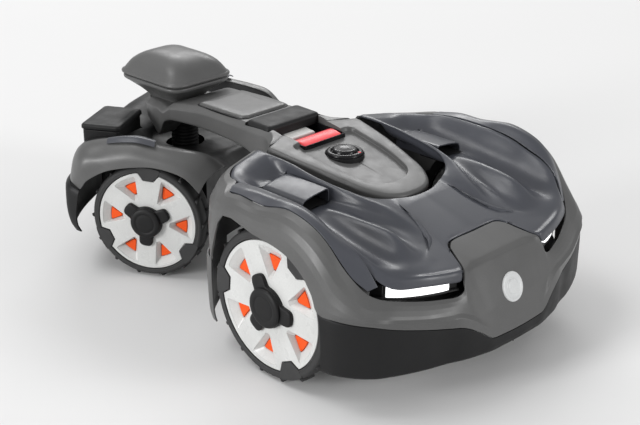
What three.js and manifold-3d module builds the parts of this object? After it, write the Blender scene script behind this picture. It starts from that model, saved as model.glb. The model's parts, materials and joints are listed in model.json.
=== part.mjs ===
// Articulated all-wheel-drive robotic lawn mower: a wide front body, a long arm with an antenna
// pod over the rear pivot, and a steered rear body. Millimetres, +Z up, the mower faces -Y.
import * as THREE from 'three';
import { mergeVertices } from 'three/addons/utils/BufferGeometryUtils.js';
import Module from 'manifold-3d';

const wasm = await Module();
wasm.setup();

// ---------------------------------------------------------------- driving dimensions
const Y_SHIFT = -225.6;        // moves the front axle's frame so the row origin is under the middle
const GAP = 0.5;               // clearance between neighbouring parts
const SKIN = 3.2;              // shell thickness

const PIVOT_Y = 490;           // vertical steering axis behind the front axle
const REST_STEER = 29.5;       // the rear body is stored turned by this many degrees
const ROLL_Z = 120;            // height of the rear body's lengthwise roll axis

const FRONT = { x: 256, y: 0, z: 118, rim: 100, tyre: 114, lug: 4, width: 54 };
const REAR = { x: 195.5, y: -3.5, z: 101, rim: 86, tyre: 98, lug: 3, width: 48 };
const LUGS = 12;

const CUT_Y = 25;              // centre of the cutting disc
const CUT_R = 92;              // cutting disc radius
const DECK_R = 128;            // hollow under the chassis that the disc works in

// ---------------------------------------------------------------- colours
const GREY = [0x55555a, 0.6, 0.0];
const BLUEGREY = [0x3b3d45, 0.35, 0.1];
const DARK = [0x303033, 0.7, 0.0];
const BLACK = [0x121214, 0.4, 0.0];
const SILVER = [0xd9dbdd, 0.35, 0.2];
const ORANGE = [0xe8501c, 0.5, 0.0];
const RED = [0xd8232a, 0.4, 0.0];
const WHITE = [0xf2f2f0, 0.4, 0.0];
const RUBBER = [0x2a2a2c, 0.85, 0.0];
const STEEL = [0xa8abae, 0.35, 0.9];
const GREEN = [0x1f5a34, 0.5, 0.0];

const group = new THREE.Group();
group.name = 'robotic_lawn_mower';

// ---------------------------------------------------------------- helpers
const V = (x, y, z) => new THREE.Vector3(x, y, z);
const turn = (deg) => new THREE.Matrix4().makeRotationZ(THREE.MathUtils.degToRad(deg));
const REAR_POSE = turn(REST_STEER).setPosition(0, PIVOT_Y, 0);

function solidOf(geometry) {
  const bare = new THREE.BufferGeometry();
  bare.setAttribute('position', geometry.getAttribute('position').clone());
  if (geometry.index) bare.setIndex(geometry.index.clone());
  const g = mergeVertices(bare, 1e-3);
  const p = g.getAttribute('position').array;
  const idx = Array.from(g.index.array);
  const tris = [];
  let volume = 0;
  for (let i = 0; i < idx.length; i += 3) {
    const [a, b, c] = [idx[i], idx[i + 1], idx[i + 2]];
    if (a === b || b === c || a === c) continue;
    tris.push(a, b, c);
    const [A, B, C] = [a, b, c].map((k) => V(p[3 * k], p[3 * k + 1], p[3 * k + 2]));
    volume += A.dot(B.cross(C));
  }
  if (volume < 0) for (let i = 0; i < tris.length; i += 3) [tris[i], tris[i + 1]] = [tris[i + 1], tris[i]];
  return new wasm.Manifold(new wasm.Mesh({
    numProp: 3, vertProperties: new Float32Array(p), triVerts: new Uint32Array(tris),
  }));
}

const box = (x0, x1, y0, y1, z0, z1) =>
  solidOf(new THREE.BoxGeometry(x1 - x0, y1 - y0, z1 - z0).translate((x0 + x1) / 2, (y0 + y1) / 2, (z0 + z1) / 2));

// outline in plan, pulled up between two heights
function prism(points, z0, z1) {
  const shape = new THREE.Shape(points.map(([x, y]) => new THREE.Vector2(x, y)));
  return solidOf(new THREE.ExtrudeGeometry(shape, { depth: z1 - z0, bevelEnabled: false }).translate(0, 0, z0));
}

// outline in side view (y, z), pulled sideways from x0 to x1
function sidePrism(points, x0, x1) {
  const shape = new THREE.Shape(points.map(([y, z]) => new THREE.Vector2(y, z)));
  const g = new THREE.ExtrudeGeometry(shape, { depth: x1 - x0, bevelEnabled: false });
  g.applyMatrix4(new THREE.Matrix4().makeBasis(V(0, 1, 0), V(0, 0, 1), V(1, 0, 0)));
  return solidOf(g.translate(x0, 0, 0));
}

// profile of [radius, height] pairs turned about the vertical line through (x, y)
const turned = (profile, x, y, segments = 24) =>
  solidOf(new THREE.LatheGeometry(profile.map(([r, h]) => new THREE.Vector2(r, h)), segments)
    .rotateX(Math.PI / 2).translate(x, y, 0));

// profile of [radius, distance along X] pairs turned about the X line through (y, z)
const turnedX = (profile, y, z, segments = 26) =>
  solidOf(new THREE.LatheGeometry(profile.map(([r, h]) => new THREE.Vector2(r, h)), segments)
    .rotateZ(-Math.PI / 2).translate(0, y, z));

const discZ = (r, x, y, z0, z1, segments = 24) => turned([[0, z0], [r, z0], [r, z1], [0, z1]], x, y, segments);
const discX = (r, y, z, x0, x1, segments = 16) => turnedX([[0, x0], [r, x0], [r, x1], [0, x1]], y, z, segments);
const discY = (r, x, z, y0, y1, segments = 16) =>
  solidOf(new THREE.CylinderGeometry(r, r, y1 - y0, segments).translate(x, (y0 + y1) / 2, z));

const union = (list) => list.reduce((sum, s) => sum.add(s));
const minus = (solid, ...cuts) => cuts.reduce((rest, c) => rest.subtract(c), solid);
const ring = (n, make, start = 0) => Array.from({ length: n }, (_, i) => make(start + (i * 2 * Math.PI) / n, i));

function placed(solid, matrix) { return solid.transform(matrix.elements.slice()); }
const mirrored = (solid) => placed(solid, new THREE.Matrix4().makeScale(-1, 1, 1));

// smooth curve through the points of a row, with n steps between neighbours
function smooth(row, n) {
  const out = [];
  for (let i = 0; i < row.length - 1; i++) {
    const [a, b, c, d] = [row[Math.max(i - 1, 0)], row[i], row[i + 1], row[Math.min(i + 2, row.length - 1)]];
    for (let k = 0; k < n; k++) {
      const t = k / n;
      const w = [-t + 2 * t * t - t ** 3, 2 - 5 * t * t + 3 * t ** 3, t + 4 * t * t - 3 * t ** 3, -t * t + t ** 3];
      out.push(V(0, 0, 0).addScaledVector(a, w[0] / 2).addScaledVector(b, w[1] / 2)
        .addScaledVector(c, w[2] / 2).addScaledVector(d, w[3] / 2));
    }
  }
  out.push(row[row.length - 1].clone());
  return out;
}

// half a net of stations (the +X side, ending on the middle plane) made whole and refined
function wholeNet(half, along, across) {
  const rows = half.map((row) => smooth(row.map((p) => V(...p)), across));
  const all = [...rows, ...rows.slice(0, -1).reverse().map((row) => row.map((p) => V(-p.x, p.y, p.z)))];
  return refineRows(all, along);
}

function refineRows(rows, along) {
  const columns = rows[0].map((_, j) => smooth(rows.map((row) => row[j]), along));
  return columns[0].map((_, i) => columns.map((col) => col[i]));
}

// a skin of even thickness behind the net, closed round its edges
function skinOf(net, thickness) {
  const [m, n] = [net.length, net[0].length];
  const inner = net.map((row, i) => row.map((p, j) => {
    const du = net[Math.min(i + 1, m - 1)][j].clone().sub(net[Math.max(i - 1, 0)][j]);
    const dv = net[i][Math.min(j + 1, n - 1)].clone().sub(net[i][Math.max(j - 1, 0)]);
    return p.clone().addScaledVector(du.cross(dv).normalize(), -thickness);
  }));
  const points = [...net.flat(), ...inner.flat()];
  const at = (layer, i, j) => layer * m * n + i * n + j;
  const tris = [];
  const quad = (a, b, c, d) => tris.push(a, b, c, a, c, d);
  for (let i = 0; i < m - 1; i++) {
    for (let j = 0; j < n - 1; j++) {
      quad(at(0, i, j), at(0, i + 1, j), at(0, i + 1, j + 1), at(0, i, j + 1));
      quad(at(1, i, j), at(1, i, j + 1), at(1, i + 1, j + 1), at(1, i + 1, j));
    }
    quad(at(0, i, 0), at(1, i, 0), at(1, i + 1, 0), at(0, i + 1, 0));
    quad(at(0, i, n - 1), at(0, i + 1, n - 1), at(1, i + 1, n - 1), at(1, i, n - 1));
  }
  for (let j = 0; j < n - 1; j++) {
    quad(at(0, 0, j), at(0, 0, j + 1), at(1, 0, j + 1), at(1, 0, j));
    quad(at(0, m - 1, j), at(1, m - 1, j), at(1, m - 1, j + 1), at(0, m - 1, j + 1));
  }
  return meshOf(points, tris);
}

// closed sections one after another, capped at both ends
function loft(sections) {
  const [m, n] = [sections.length, sections[0].length];
  const points = sections.flat().map((p) => V(...p));
  const tris = [];
  for (let i = 0; i < m - 1; i++) {
    for (let j = 0; j < n; j++) {
      const [a, b, c, d] = [i * n + j, i * n + ((j + 1) % n), (i + 1) * n + ((j + 1) % n), (i + 1) * n + j];
      tris.push(a, b, c, a, c, d);
    }
  }
  for (let j = 1; j < n - 1; j++) tris.push(0, j + 1, j, (m - 1) * n, (m - 1) * n + j, (m - 1) * n + j + 1);
  return meshOf(points, tris);
}

function meshOf(points, tris) {
  const g = new THREE.BufferGeometry();
  g.setAttribute('position', new THREE.Float32BufferAttribute(points.flatMap((p) => [p.x, p.y, p.z]), 3));
  g.setIndex(tris);
  return solidOf(g);
}

function add(name, solid, [color, roughness, metalness]) {
  const { numProp, vertProperties, triVerts } = solid.getMesh();
  const g = new THREE.BufferGeometry();
  const xyz = [];
  for (let i = 0; i < vertProperties.length; i += numProp) {
    xyz.push(vertProperties[i], vertProperties[i + 1] + Y_SHIFT, vertProperties[i + 2]);
  }
  g.setAttribute('position', new THREE.Float32BufferAttribute(xyz, 3));
  g.setIndex(Array.from(triVerts));
  g.computeVertexNormals();
  const mesh = new THREE.Mesh(g, new THREE.MeshStandardMaterial({ color, roughness, metalness }));
  mesh.name = name;
  group.add(mesh);
}

// both sides of a part drawn on the +X side, which is the mower's left
function addPair(name, solid, look) {
  add(`${name}_left`, solid, look);
  add(`${name}_right`, mirrored(solid), look);
}

// ---------------------------------------------------------------- front body shells
// The hood ahead of the console is one sloping face with a slight crown.
const hood = (x, y) => 252.2 + 0.303 * y + 0.032 * Math.abs(x) + 3 * Math.max(0, 1 - (x / 70) ** 2);

// Stations run from the rear, round the front corner; the last one is at the lamp's outer end.
const COVER_SIDE = [
  // opening edge, rim, foot, trough, ridge foot, ridge, slope, valley, rise, crest, outer edge
  [[112, 172, 272], [117, 171, 273], [124, 170, 272], [132, 168, 271], [140, 166, 270], [147, 165, 269],
    [153, 163, 268], [159, 162, 267], [165, 160, 266], [171, 158, 265], [176, 157, 262]],
  [[113, 145, 272], [118, 145, 273], [126, 144, 271], [135, 143, 269], [144, 142, 267], [154, 140, 265],
    [164, 139, 264], [174, 138, 264], [184, 137, 265], [192, 136, 265], [198, 134, 262]],
  [[113, 115, 271], [117, 115, 271], [122, 115, 254], [130, 116, 250], [138, 117, 249], [146, 118, 249],
    [158, 118, 249], [170, 117, 251], [184, 113, 258], [199, 110, 266], [207, 108, 265]],
  [[113, 90, 269], [117, 90, 269], [120, 90, 252], [126, 90, 250], [136, 90, 249], [148, 90, 249],
    [164, 90, 247], [178, 89, 246], [194, 88, 252], [210, 87, 268], [214, 86, 269]],
  [[113, 58, 264], [117, 57, 264], [119.5, 56, 249], [126, 56, 247], [136, 56, 246], [148, 56, 246],
    [165, 56, 243], [179, 54, 241], [197, 52, 250], [213, 50, 271], [217, 50, 271]],
  [[110, 20, 259], [114, 19, 260], [119, 18, 246], [127, 17, 244], [137, 16, 243], [148, 15, 243],
    [163, 14, 240], [178, 12, 238], [197, 9, 248], [212, 6, 270], [216.5, 6, 271]],
  [[104, -7, 255], [110, -9, 256], [117, -11, 243], [125, -13, 239], [135, -14, 238], [148, -14, 243],
    [160, -15, 238], [176, -18, 234], [196, -22, 243], [211, -24, 268], [216, -25, 270]],
  [[91, -29, 248], [104, -34, 251.5], [110, -38, 240], [117, -41, 235], [127, -43, 234], [147, -44, 242],
    [160, -46, 234], [176, -50, 229], [197, -55, 238], [213, -57, 262], [217.5, -58, 264]],
  [[74, -42, 243], [92, -62, 244], [101, -66, 234], [110, -69, 229], [122, -71, 228.5], [145, -73, 241.5],
    [159, -76, 229], [176, -82, 222.5], [198, -88, 230], [215, -89, 250], [219, -89, 253]],
  [[67, -45, 241.8], [83, -88, 235], [97, -93, 226], [107, -95, 224], [118, -96, 223], [142, -99, 240.5],
    [157, -103, 225], [174, -110, 217.5], [197, -116, 224], [215, -117, 242], [220, -118, 243]],
  [[61, -48, 240.8], [75, -112, 224], [90, -120, 218.5], [103, -124, 217], [115, -125, 217], [138, -125, 237],
    [155, -130, 220], [173, -137, 213], [195, -141, 219], [211, -142, 230], [217, -143, 228]],
  [[56, -49.5, 240], [70, -120, 219.3], [84, -136, 213.5], [100, -142, 211.5], [116, -145, 213], [137, -147, 226],
    [154, -152, 215], [171, -156, 210.5], [190, -158, 213], [205, -158, 216], [212, -157, 207]],
  [[52, -51, 239.5], [64, -124, 217.5], [75, -144, 210.5], [92, -153, 208], [110, -160, 207], [131, -166, 208],
    [150, -171, 208], [165, -174, 207.5], [180, -176, 206.5], [191, -179, 201], [196, -182, 189]],
];
// Ahead of that the net fans out over the hood: opening edge, crest and outer edge of each station.
const COVER_FRONT = [
  [[48, -52.5], [149, -201, 198], [153, -204, 185]],
  [[44.5, -54], [110, -211, 193], [112, -214.5, 180]],
  [[41, -55.5], [89, -213.5, 191.5], [92, -217, 178]],
  [[38, -56.5], [86, -209.8, 190.9], [87.2, -212.6, 190]],
  [[34, -57.8], [80.2, -203, 193], [81, -205.5, 192.2]],
  [[29, -59.3], [70.2, -180.3, 199.7], [71, -182.5, 198.9]],
  [[24, -60.4], [64, -167, 203.5], [65, -169, 202.9]],
  [[19, -61.2], [56.2, -159, 206.8], [57, -161, 206]],
  [[13, -61.8], [44.4, -156.5, 207.8], [45, -158.5, 207.4]],
  [[6.5, -62], [22, -156.3, 208.2], [22.4, -158.3, 207.7]],
  [[0, -62], [0, -156.3, 207.9], [0, -158.3, 207.3]],
];
const FAN = [0.45, 0.6, 0.69, 0.76, 0.82, 0.87, 0.91, 0.95];
const COVER = [...COVER_SIDE, ...COVER_FRONT.map(([edge, crest, outer]) => [
  [...edge, hood(...edge)],
  ...FAN.map((t) => {
    const [x, y] = [0, 1].map((k) => edge[k] + t * (crest[k] - edge[k]));
    return [x, y, hood(x, y)];
  }),
  crest, outer])];
const SURROUND = [ // top seam, roll, shoulder, flank, lower flank, flange, bottom edge
  [[114, 176, 270], [115, 181, 269], [116, 186, 264], [116, 189, 245], [116, 189, 210], [116, 188, 175], [116, 187, 152]],
  [[150, 168.5, 266], [153, 174, 264], [156, 179, 258], [159, 182, 240], [160, 182, 210], [160, 181, 175], [160, 180, 152]],
  [[179, 160, 263], [184, 165, 261], [190, 169, 254], [196, 172, 238], [198, 171, 210], [199, 169, 175], [199, 167, 152]],
  [[202, 137.5, 263], [211, 142, 261], [220, 147, 254], [230, 150, 238], [234, 149, 210], [236, 147, 175], [236, 145, 152]],
  [[213, 111, 266], [230, 113, 265], [244, 118, 256], [253, 124, 238], [257, 124, 210], [258, 123, 175], [258, 121, 152]],
  [[243, 92, 264], [252, 94, 261], [260, 98, 252], [265, 102, 238], [268, 104, 220], [269.5, 104, 203], [270, 101.5, 186]],
  [[247, 64, 268], [256, 64, 265], [262, 65, 260], [266, 68, 255], [268.5, 71, 250], [270, 74, 245], [270, 77, 240]],
  [[247, 20, 265], [256, 20, 262], [262, 19, 257], [266, 18, 251], [268.5, 18, 245], [270, 17, 238], [270, 16, 231]],
  [[247, -28, 275], [256, -28, 270], [262, -28, 263], [266, -28, 254], [268.5, -28, 245], [270, -28, 235], [270, -28, 226]],
  [[247, -62, 271], [256, -62, 265], [262, -62, 257], [266, -61, 248], [268.5, -60, 238], [270, -58, 228], [270, -57, 218]],
  [[247, -91, 261], [256, -93, 252], [262, -93, 243], [266, -92, 232], [269, -90, 221], [270, -87, 210], [270, -84, 200]],
  [[246, -113, 245], [255, -116, 235], [261, -118, 224], [266, -117, 211], [268.5, -114, 199], [269.5, -108, 188], [270, -102, 177]],
  [[242.5, -131, 223], [251, -136, 213], [258, -139, 201], [263, -139, 188], [267, -134, 176], [269.5, -124, 166], [270, -113, 154]],
  [[235.5, -147, 203], [244, -154, 193], [250, -160, 184], [256, -163, 174], [260, -162, 166], [264.5, -153, 160], [266, -142, 152]],
  [[224, -163, 184], [232, -170, 177], [238, -176, 171], [243, -180, 164], [247, -181, 160], [250, -176, 156], [252, -168, 149.5]],
  [[209, -176, 175], [214, -181, 170], [219, -186, 166], [223, -190, 161], [226, -193, 157], [231, -193, 153.5], [234, -188, 147]],
  [[192, -187, 171], [196, -191, 167], [199, -195, 162], [202, -199, 156], [204, -201, 152], [208, -204, 148.5], [211, -201.5, 140.5]],
  [[154, -205, 164], [157, -209, 160], [159, -213, 155], [161, -217, 149], [162, -219, 145], [164, -223, 141], [166, -220.5, 130.5]],
  [[124, -215, 160], [126, -219, 156], [127, -223, 151], [128, -226, 146], [129, -228, 141], [130.5, -232, 136], [131, -230.5, 123]],
  [[107, -220.5, 159], [108, -224, 155], [109, -227, 150], [109, -230, 144], [109, -232, 139], [108, -237, 133], [107.5, -240, 119]],
  [[93.5, -223, 163], [94, -226, 157], [94, -229, 150], [93, -232, 142], [90, -236, 131], [85, -242.5, 121], [82, -246.5, 105]],
  [[89, -220, 176.5], [89.5, -222.5, 169], [88.5, -226, 159], [85, -232, 142], [79, -238.5, 124], [71, -245.5, 110.5], [66.5, -250, 94]],
  [[83, -213.8, 189.3], [82, -215.3, 187], [79.5, -218, 180], [74, -228, 155], [67, -238.5, 127], [60, -247, 104], [57, -251.5, 89]],
  [[78.2, -206.3, 192], [75, -211, 189.8], [71.5, -215.5, 185], [64.5, -228, 156], [57, -239.5, 127], [49, -247.8, 103], [46.5, -252, 88]],
  [[68, -184, 198.7], [63.5, -206, 192], [60, -215.2, 186.5], [53.5, -228.5, 157.5], [46, -240.5, 127.5], [37, -248.3, 102.5], [35.5, -252.3, 87.6]],
  [[62, -171, 203], [52, -206, 193], [48, -215.3, 187.5], [42.5, -229, 158.5], [36, -241, 128], [28, -248.7, 102.3], [27, -252.6, 87.4]],
  [[53, -163.5, 205.8], [38, -206, 193.2], [35, -215.4, 188], [31, -229.3, 159.3], [26, -241.4, 128.3], [20, -249, 102], [20, -252.8, 87.2]],
  [[43, -161, 206.7], [19, -206, 193.4], [18, -215.5, 188.4], [16, -229.5, 160], [13, -241.6, 128.5], [10, -249.2, 102], [10, -253, 87]],
  [[0, -161, 206.4], [0, -206, 193.5], [0, -215.5, 188.5], [0, -229.6, 160], [0, -241.7, 128.6], [0, -249.3, 101.8], [0, -253, 87]],
];
const TRIM = [ // inner seam, crest, outer seam
  [[214.5, 102, 267.5], [228, 99, 268.5], [238.8, 91, 265.5]],
  [[219, 64, 272], [233, 62, 274], [245.5, 62, 269.5]],
  [[219.7, 20, 273], [233, 19, 275], [245.5, 19.5, 267]],
  [[218.7, -25, 271.5], [232.5, -27, 279], [245.5, -28, 276.5]],
  [[220.2, -58, 266], [233.5, -61, 275], [245.5, -62, 272.5]],
  [[221.8, -90, 255], [234.5, -92, 264], [245.5, -91.5, 262]],
  [[222.6, -119, 245], [235, -116, 248.5], [244.5, -113, 246.5]],
  [[219.5, -145, 229], [232, -137, 228], [241, -131.5, 224.5]],
  [[214.8, -160, 207.5], [226, -153, 206], [234, -147, 204]],
  [[211, -168, 192], [217, -165, 190], [222, -162, 188]],
];
const BUMPER_DROP = 1.5;       // the bumper's top edge sits this far under the surround
const BUMPER_FOOT = 64;        // height of its bottom edge

function topCover() {
  const seat = box(VISOR.inner - GAP, VISOR.outer + GAP, VISOR.front - GAP, VISOR.back + GAP, 200, 300);
  return minus(skinOf(wholeNet(COVER, 1, 1), SKIN), seat, mirrored(seat));
}
const surround = () => skinOf(wholeNet(SURROUND, 1, 2), SKIN);
const sideTrim = () => skinOf(refineRows(TRIM.map((r) => smooth(r.map((p) => V(...p)), 2)), 1), SKIN);

function bumper() {
  const seam = SURROUND.slice(12).map((row) => row[6]);
  const half = seam.map(([x, y, z], i) => {
    const foot = i === 0 ? [x - 5, y - 12, BUMPER_FOOT] : [x - 1, y + 2, BUMPER_FOOT];
    const top = z - BUMPER_DROP;
    return [[x, y, top], [x + (i ? 1 : -2), y - (i ? 1 : 6), (top + BUMPER_FOOT) / 2], foot];
  });
  return skinOf(wholeNet(half, 1, 1), SKIN);
}

// curved guard behind each front wheel
function rearGuard() {
  const outer = [[250, 126], [244, 142], [229, 158], [204, 171], [176, 178]];
  const inner = outer.map(([x, y]) => [x - 2.5, y - 3.5]).reverse();
  const guard = prism([...outer, ...inner], 44, 150.5);
  return minus(guard, sidePrism([[120, 44], [186, 44], [186, 70]], 150, 260));
}

// ---------------------------------------------------------------- front body inside
function chassis() {
  const plate = prism([[-150, -205], [150, -205], [186, -165], [186, 150], [150, 176], [-150, 176],
    [-186, 150], [-186, -165]], 78, 150);
  const spine = box(-96, 96, -30, 182, 149, 196);
  const deck = discZ(DECK_R, 0, CUT_Y, 60, 118, 28);
  const shaftWell = discZ(50, 0, CUT_Y, 117, 170);
  const batteryBay = box(-72.5, 72.5, -172.5, -107.5, 118, 160);
  const motors = [1, -1].map((s) => discX(36.5, FRONT.y, FRONT.z, s > 0 ? 150 : -190, s > 0 ? 190 : -150));
  return minus(plate.add(spine), deck, shaftWell, batteryBay, ...motors);
}

// Rows from the arm's end to the tip: place along Y, half width, rim height and how far the panel dips.
const CONSOLE = [[188, 76, 276, 9], [169, 96, 275, 10], [150, 100, 273, 11], [110, 97, 265, 10], [70, 92, 256, 8], [35, 85, 249, 6],
  [5, 74, 244, 4], [-18, 56, 241, 1.5], [-34, 34, 239, 0], [-43, 12, 237, 0]];
const KNOB = { y: 98, r: 30 };

function console_() {
  const hull = loft(CONSOLE.map(([y, w, z, dip]) => [
    [-w + 1, y, 197], [-w - 2, y, z - 14], [-w + 4, y, z - 2], [-w * 0.9, y, z], [-w * 0.64, y, z - dip],
    [0, y, z - dip + 0.5], [w * 0.64, y, z - dip], [w * 0.9, y, z], [w - 4, y, z - 2], [w + 2, y, z - 14],
    [w - 1, y, 197]]));
  const recess = prism([[-46, 139], [46, 139], [50, 190], [-50, 190]], 246, 290);
  const knobWell = discZ(KNOB.r + 1, 0, KNOB.y, 246, 280, 32);
  const boardBay = box(-70, 70, 10, 140, 190, 240);
  return minus(hull, recess, knobWell, boardBay);
}

const controlKnob = () => turned([[0, 246.5], [27, 246.5], [KNOB.r, 249], [KNOB.r, 254], [27, 257], [21, 257.5],
  [20.5, 263], [17, 265], [0, 265.5]], 0, KNOB.y, 32);

const stopButton = () => sidePrism([[143, 250], [170, 250], [170, 265], [163, 267.5], [146, 264], [143, 261]], -40, 40);
const startButton = () => sidePrism([[193, 250], [218, 250], [218, 258], [214, 260.5], [196, 260], [193, 258]], -29, 29);

function linkArm() {
  const rows = [[189, 75, 205, 277], [203, 69, 214, 279], [229, 67, 227, 280], [255, 65, 236, 280],
    [300, 62, 240, 279], [340, 61, 241, 279], [376, 62, 242, 278], [410, 66, 242, 275], [443, 70, 240, 270],
    [465, 66, 230, 257], [490, 58, 199, 257], [510, 54, 210, 257], [532, 48, 222, 256]];
  const beam = loft(rows.map(([y, w, b, t]) => [
    [-w + 8, y, b], [-w, y, b + 6], [-w + 3, y, t - 5], [-w + 10, y, t], [w - 10, y, t], [w - 3, y, t - 5],
    [w, y, b + 6], [w - 8, y, b]]));
  const recess = prism([[-50, 180], [50, 180], [50, 222], [-50, 222]], 246, 290);
  const hatchBed = box(-59, 59, 206, 265.5, 266, 290);
  const bearing = discZ(24.4, 0, PIVOT_Y, 190, 226);
  return minus(beam, recess, hatchBed, bearing);
}

function displayHatch() {
  const lid = loft([[208, 50, 279], [214, 57, 284], [238, 58, 286], [258, 57, 285], [264.5, 54, 281]].map(([y, w, t]) => [
    [-w, y, 267], [-w, y, t - 4], [-w + 8, y, t], [w - 8, y, t], [w, y, t - 4], [w, y, 267]]));
  return minus(lid, box(-44, 44, 216, 256, 260, 273));
}

// ---------------------------------------------------------------- antenna
const roundedPlan = (hx, hy, y, r, z) => {
  const points = [];
  for (const [sx, sy, a0] of [[1, 1, 0], [-1, 1, 90], [-1, -1, 180], [1, -1, 270]]) {
    for (let k = 0; k <= 3; k++) {
      const a = THREE.MathUtils.degToRad(a0 + k * 30);
      points.push([sx * (hx - r) + r * Math.cos(a), y + sy * (hy - r) + r * Math.sin(a), z]);
    }
  }
  return points;
};
const ANTENNA_Y = 509;

function antennaBase() {
  return loft([roundedPlan(36, 42, 508, 20, 257.6), roundedPlan(42, 50, ANTENNA_Y, 22, 266),
    roundedPlan(52, 64, ANTENNA_Y, 24, 276), roundedPlan(61, 73.5, ANTENNA_Y, 27, 284),
    roundedPlan(65, 78, ANTENNA_Y, 28, 289), roundedPlan(65, 78, ANTENNA_Y, 28, 294.5)]);
}

function antennaDome() {
  return loft([roundedPlan(65, 78, ANTENNA_Y, 28, 295), roundedPlan(67.5, 80.5, ANTENNA_Y, 28, 299),
    roundedPlan(64.5, 77.5, ANTENNA_Y, 28, 304), roundedPlan(58, 71, ANTENNA_Y, 28, 315),
    roundedPlan(49, 61, ANTENNA_Y, 27, 324), roundedPlan(38, 48, ANTENNA_Y, 24, 331),
    roundedPlan(25, 32, ANTENNA_Y, 17, 335.2), roundedPlan(10, 13, ANTENNA_Y, 7, 337)]);
}

// ---------------------------------------------------------------- lamps and sensors
function headlamp() {
  const front = [[112, -206], [130, -199], [150, -190], [170, -178], [186, -162]];
  const back = front.map(([x, y]) => [x - 2, y + 8]).reverse();
  return prism([...front, ...back], 167, 181);
}

// seat, roof and side walls in one, open to the front
const VISOR = { inner: 120, outer: 176, back: 100, front: 13 };
function sensorVisor() {
  const rows = [[VISOR.back, 259], [60, 259.5], [VISOR.front, 258]];
  const hood = loft(rows.map(([y, z]) => [[VISOR.inner, y, 226], [VISOR.inner, y, z - 2],
    [VISOR.inner + 3, y, z], [VISOR.outer - 3, y, z - 7], [VISOR.outer, y, z - 10], [VISOR.outer, y, 226]]));
  const mouth = loft([62, 0].map((y) => [[125, y, 238], [125, y, 254], [171, y, 247], [171, y, 238]]));
  return minus(hood, mouth);
}

const sensor = () => box(132, 164, 46, 61.5, 238.5, 246.5);

// ---------------------------------------------------------------- wheels
// drawn on the +X side: the rim's face plane is at w.x, the tyre reaches inwards from there
const notchAngles = (start) => ring(3, (a) => a, THREE.MathUtils.degToRad(start));

function wheelParts(w, notchStart) {
  const [face, back] = [w.x, w.x - w.width];
  const spin = (solid, a) => placed(solid, new THREE.Matrix4().makeTranslation(0, w.y, w.z)
    .multiply(new THREE.Matrix4().makeRotationX(a)));
  const r = w.rim;
  const notch = (grow) => sidePrism([[-0.24 * r - grow, r + 8], [-0.13 * r - grow, 0.84 * r - grow],
    [0.13 * r + grow, 0.84 * r - grow], [0.24 * r + grow, r + 8]], face - 16 - grow, face + 6);
  const window_ = sidePrism([[-0.14 * r, 0.66 * r], [0.14 * r, 0.66 * r], [0.02 * r, 0.44 * r], [-0.02 * r, 0.44 * r]],
    face - 12, face + 4);
  const cutNotches = notchAngles(notchStart).map((a) => spin(notch(GAP), a));
  const windows = ring(6, (a) => spin(window_, a), THREE.MathUtils.degToRad(notchStart + 30));
  const rim = minus(turnedX([[8.4, back + 6], [20, back + 6], [20, face - 10], [0.8 * r, face - 10],
    [0.8 * r, back + 3], [r - 4, back + 3], [r - 4, face - 6], [r, face - 6], [r, face], [0.3 * r, face - 3],
    [0.3 * r, face - 8], [8.4, face - 8], [8.4, back + 6]], w.y, w.z), ...cutNotches, ...windows);
  const insert = turnedX([[20.5, face - 17], [0.8 * r - GAP, face - 17], [0.8 * r - GAP, face - 10.5],
    [20.5, face - 10.5], [20.5, face - 17]], w.y, w.z);
  const body = turnedX([[r - 3.5, back], [w.tyre - 4, back], [w.tyre, back + 5], [w.tyre, face - 5],
    [w.tyre - 4, face - 0.5], [r + 0.5, face - 0.5], [r + 0.5, face - 6], [r - 3.5, face - 6.6],
    [r - 3.5, back]], w.y, w.z);
  const lugs = ring(LUGS, (a, i) => spin(box(i % 2 ? back + 2 : face - 16, i % 2 ? back + 16 : face - 2,
    -3.5, 3.5, w.tyre - 2, w.tyre + w.lug), a), THREE.MathUtils.degToRad(notchStart + 26));
  const fills = notchAngles(notchStart).map((a) => spin(minus(notch(0),
    sidePrism([[-60, w.tyre - 3], [60, w.tyre - 3], [60, w.tyre + 30], [-60, w.tyre + 30]], face - 40, face + 20),
    box(face - 1, face + 20, -60, 60, 0, 200)), a));
  const cap = minus(turnedX([[0, face - 7.5], [0.3 * r - 1, face - 7.5], [0.3 * r - 1, face + 4],
    [0.27 * r, face + 10], [0, face + 11]], w.y, w.z).add(union(ring(3, (a) => spin(loft([
    [[face - 1.9, -11, 0.2 * r], [face + 8, -11, 0.2 * r], [face + 8, 11, 0.2 * r], [face - 1.9, 11, 0.2 * r]],
    [[face - 1.9, -6, 0.46 * r], [face + 4, -6, 0.46 * r], [face + 4, 6, 0.46 * r], [face - 1.9, 6, 0.46 * r]],
  ]), a), THREE.MathUtils.degToRad(notchStart + 60)))));
  return { tyre: union([body, ...lugs, ...fills]), rim, insert, cap };
}

function hubMotor(w, inner) {
  return turnedX([[0, inner], [36, inner], [36, w.x - w.width - 3], [14, w.x - w.width + 1],
    [8, w.x - w.width + 1], [8, w.x - 12], [0, w.x - 12]], w.y, w.z, 16);
}

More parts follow.
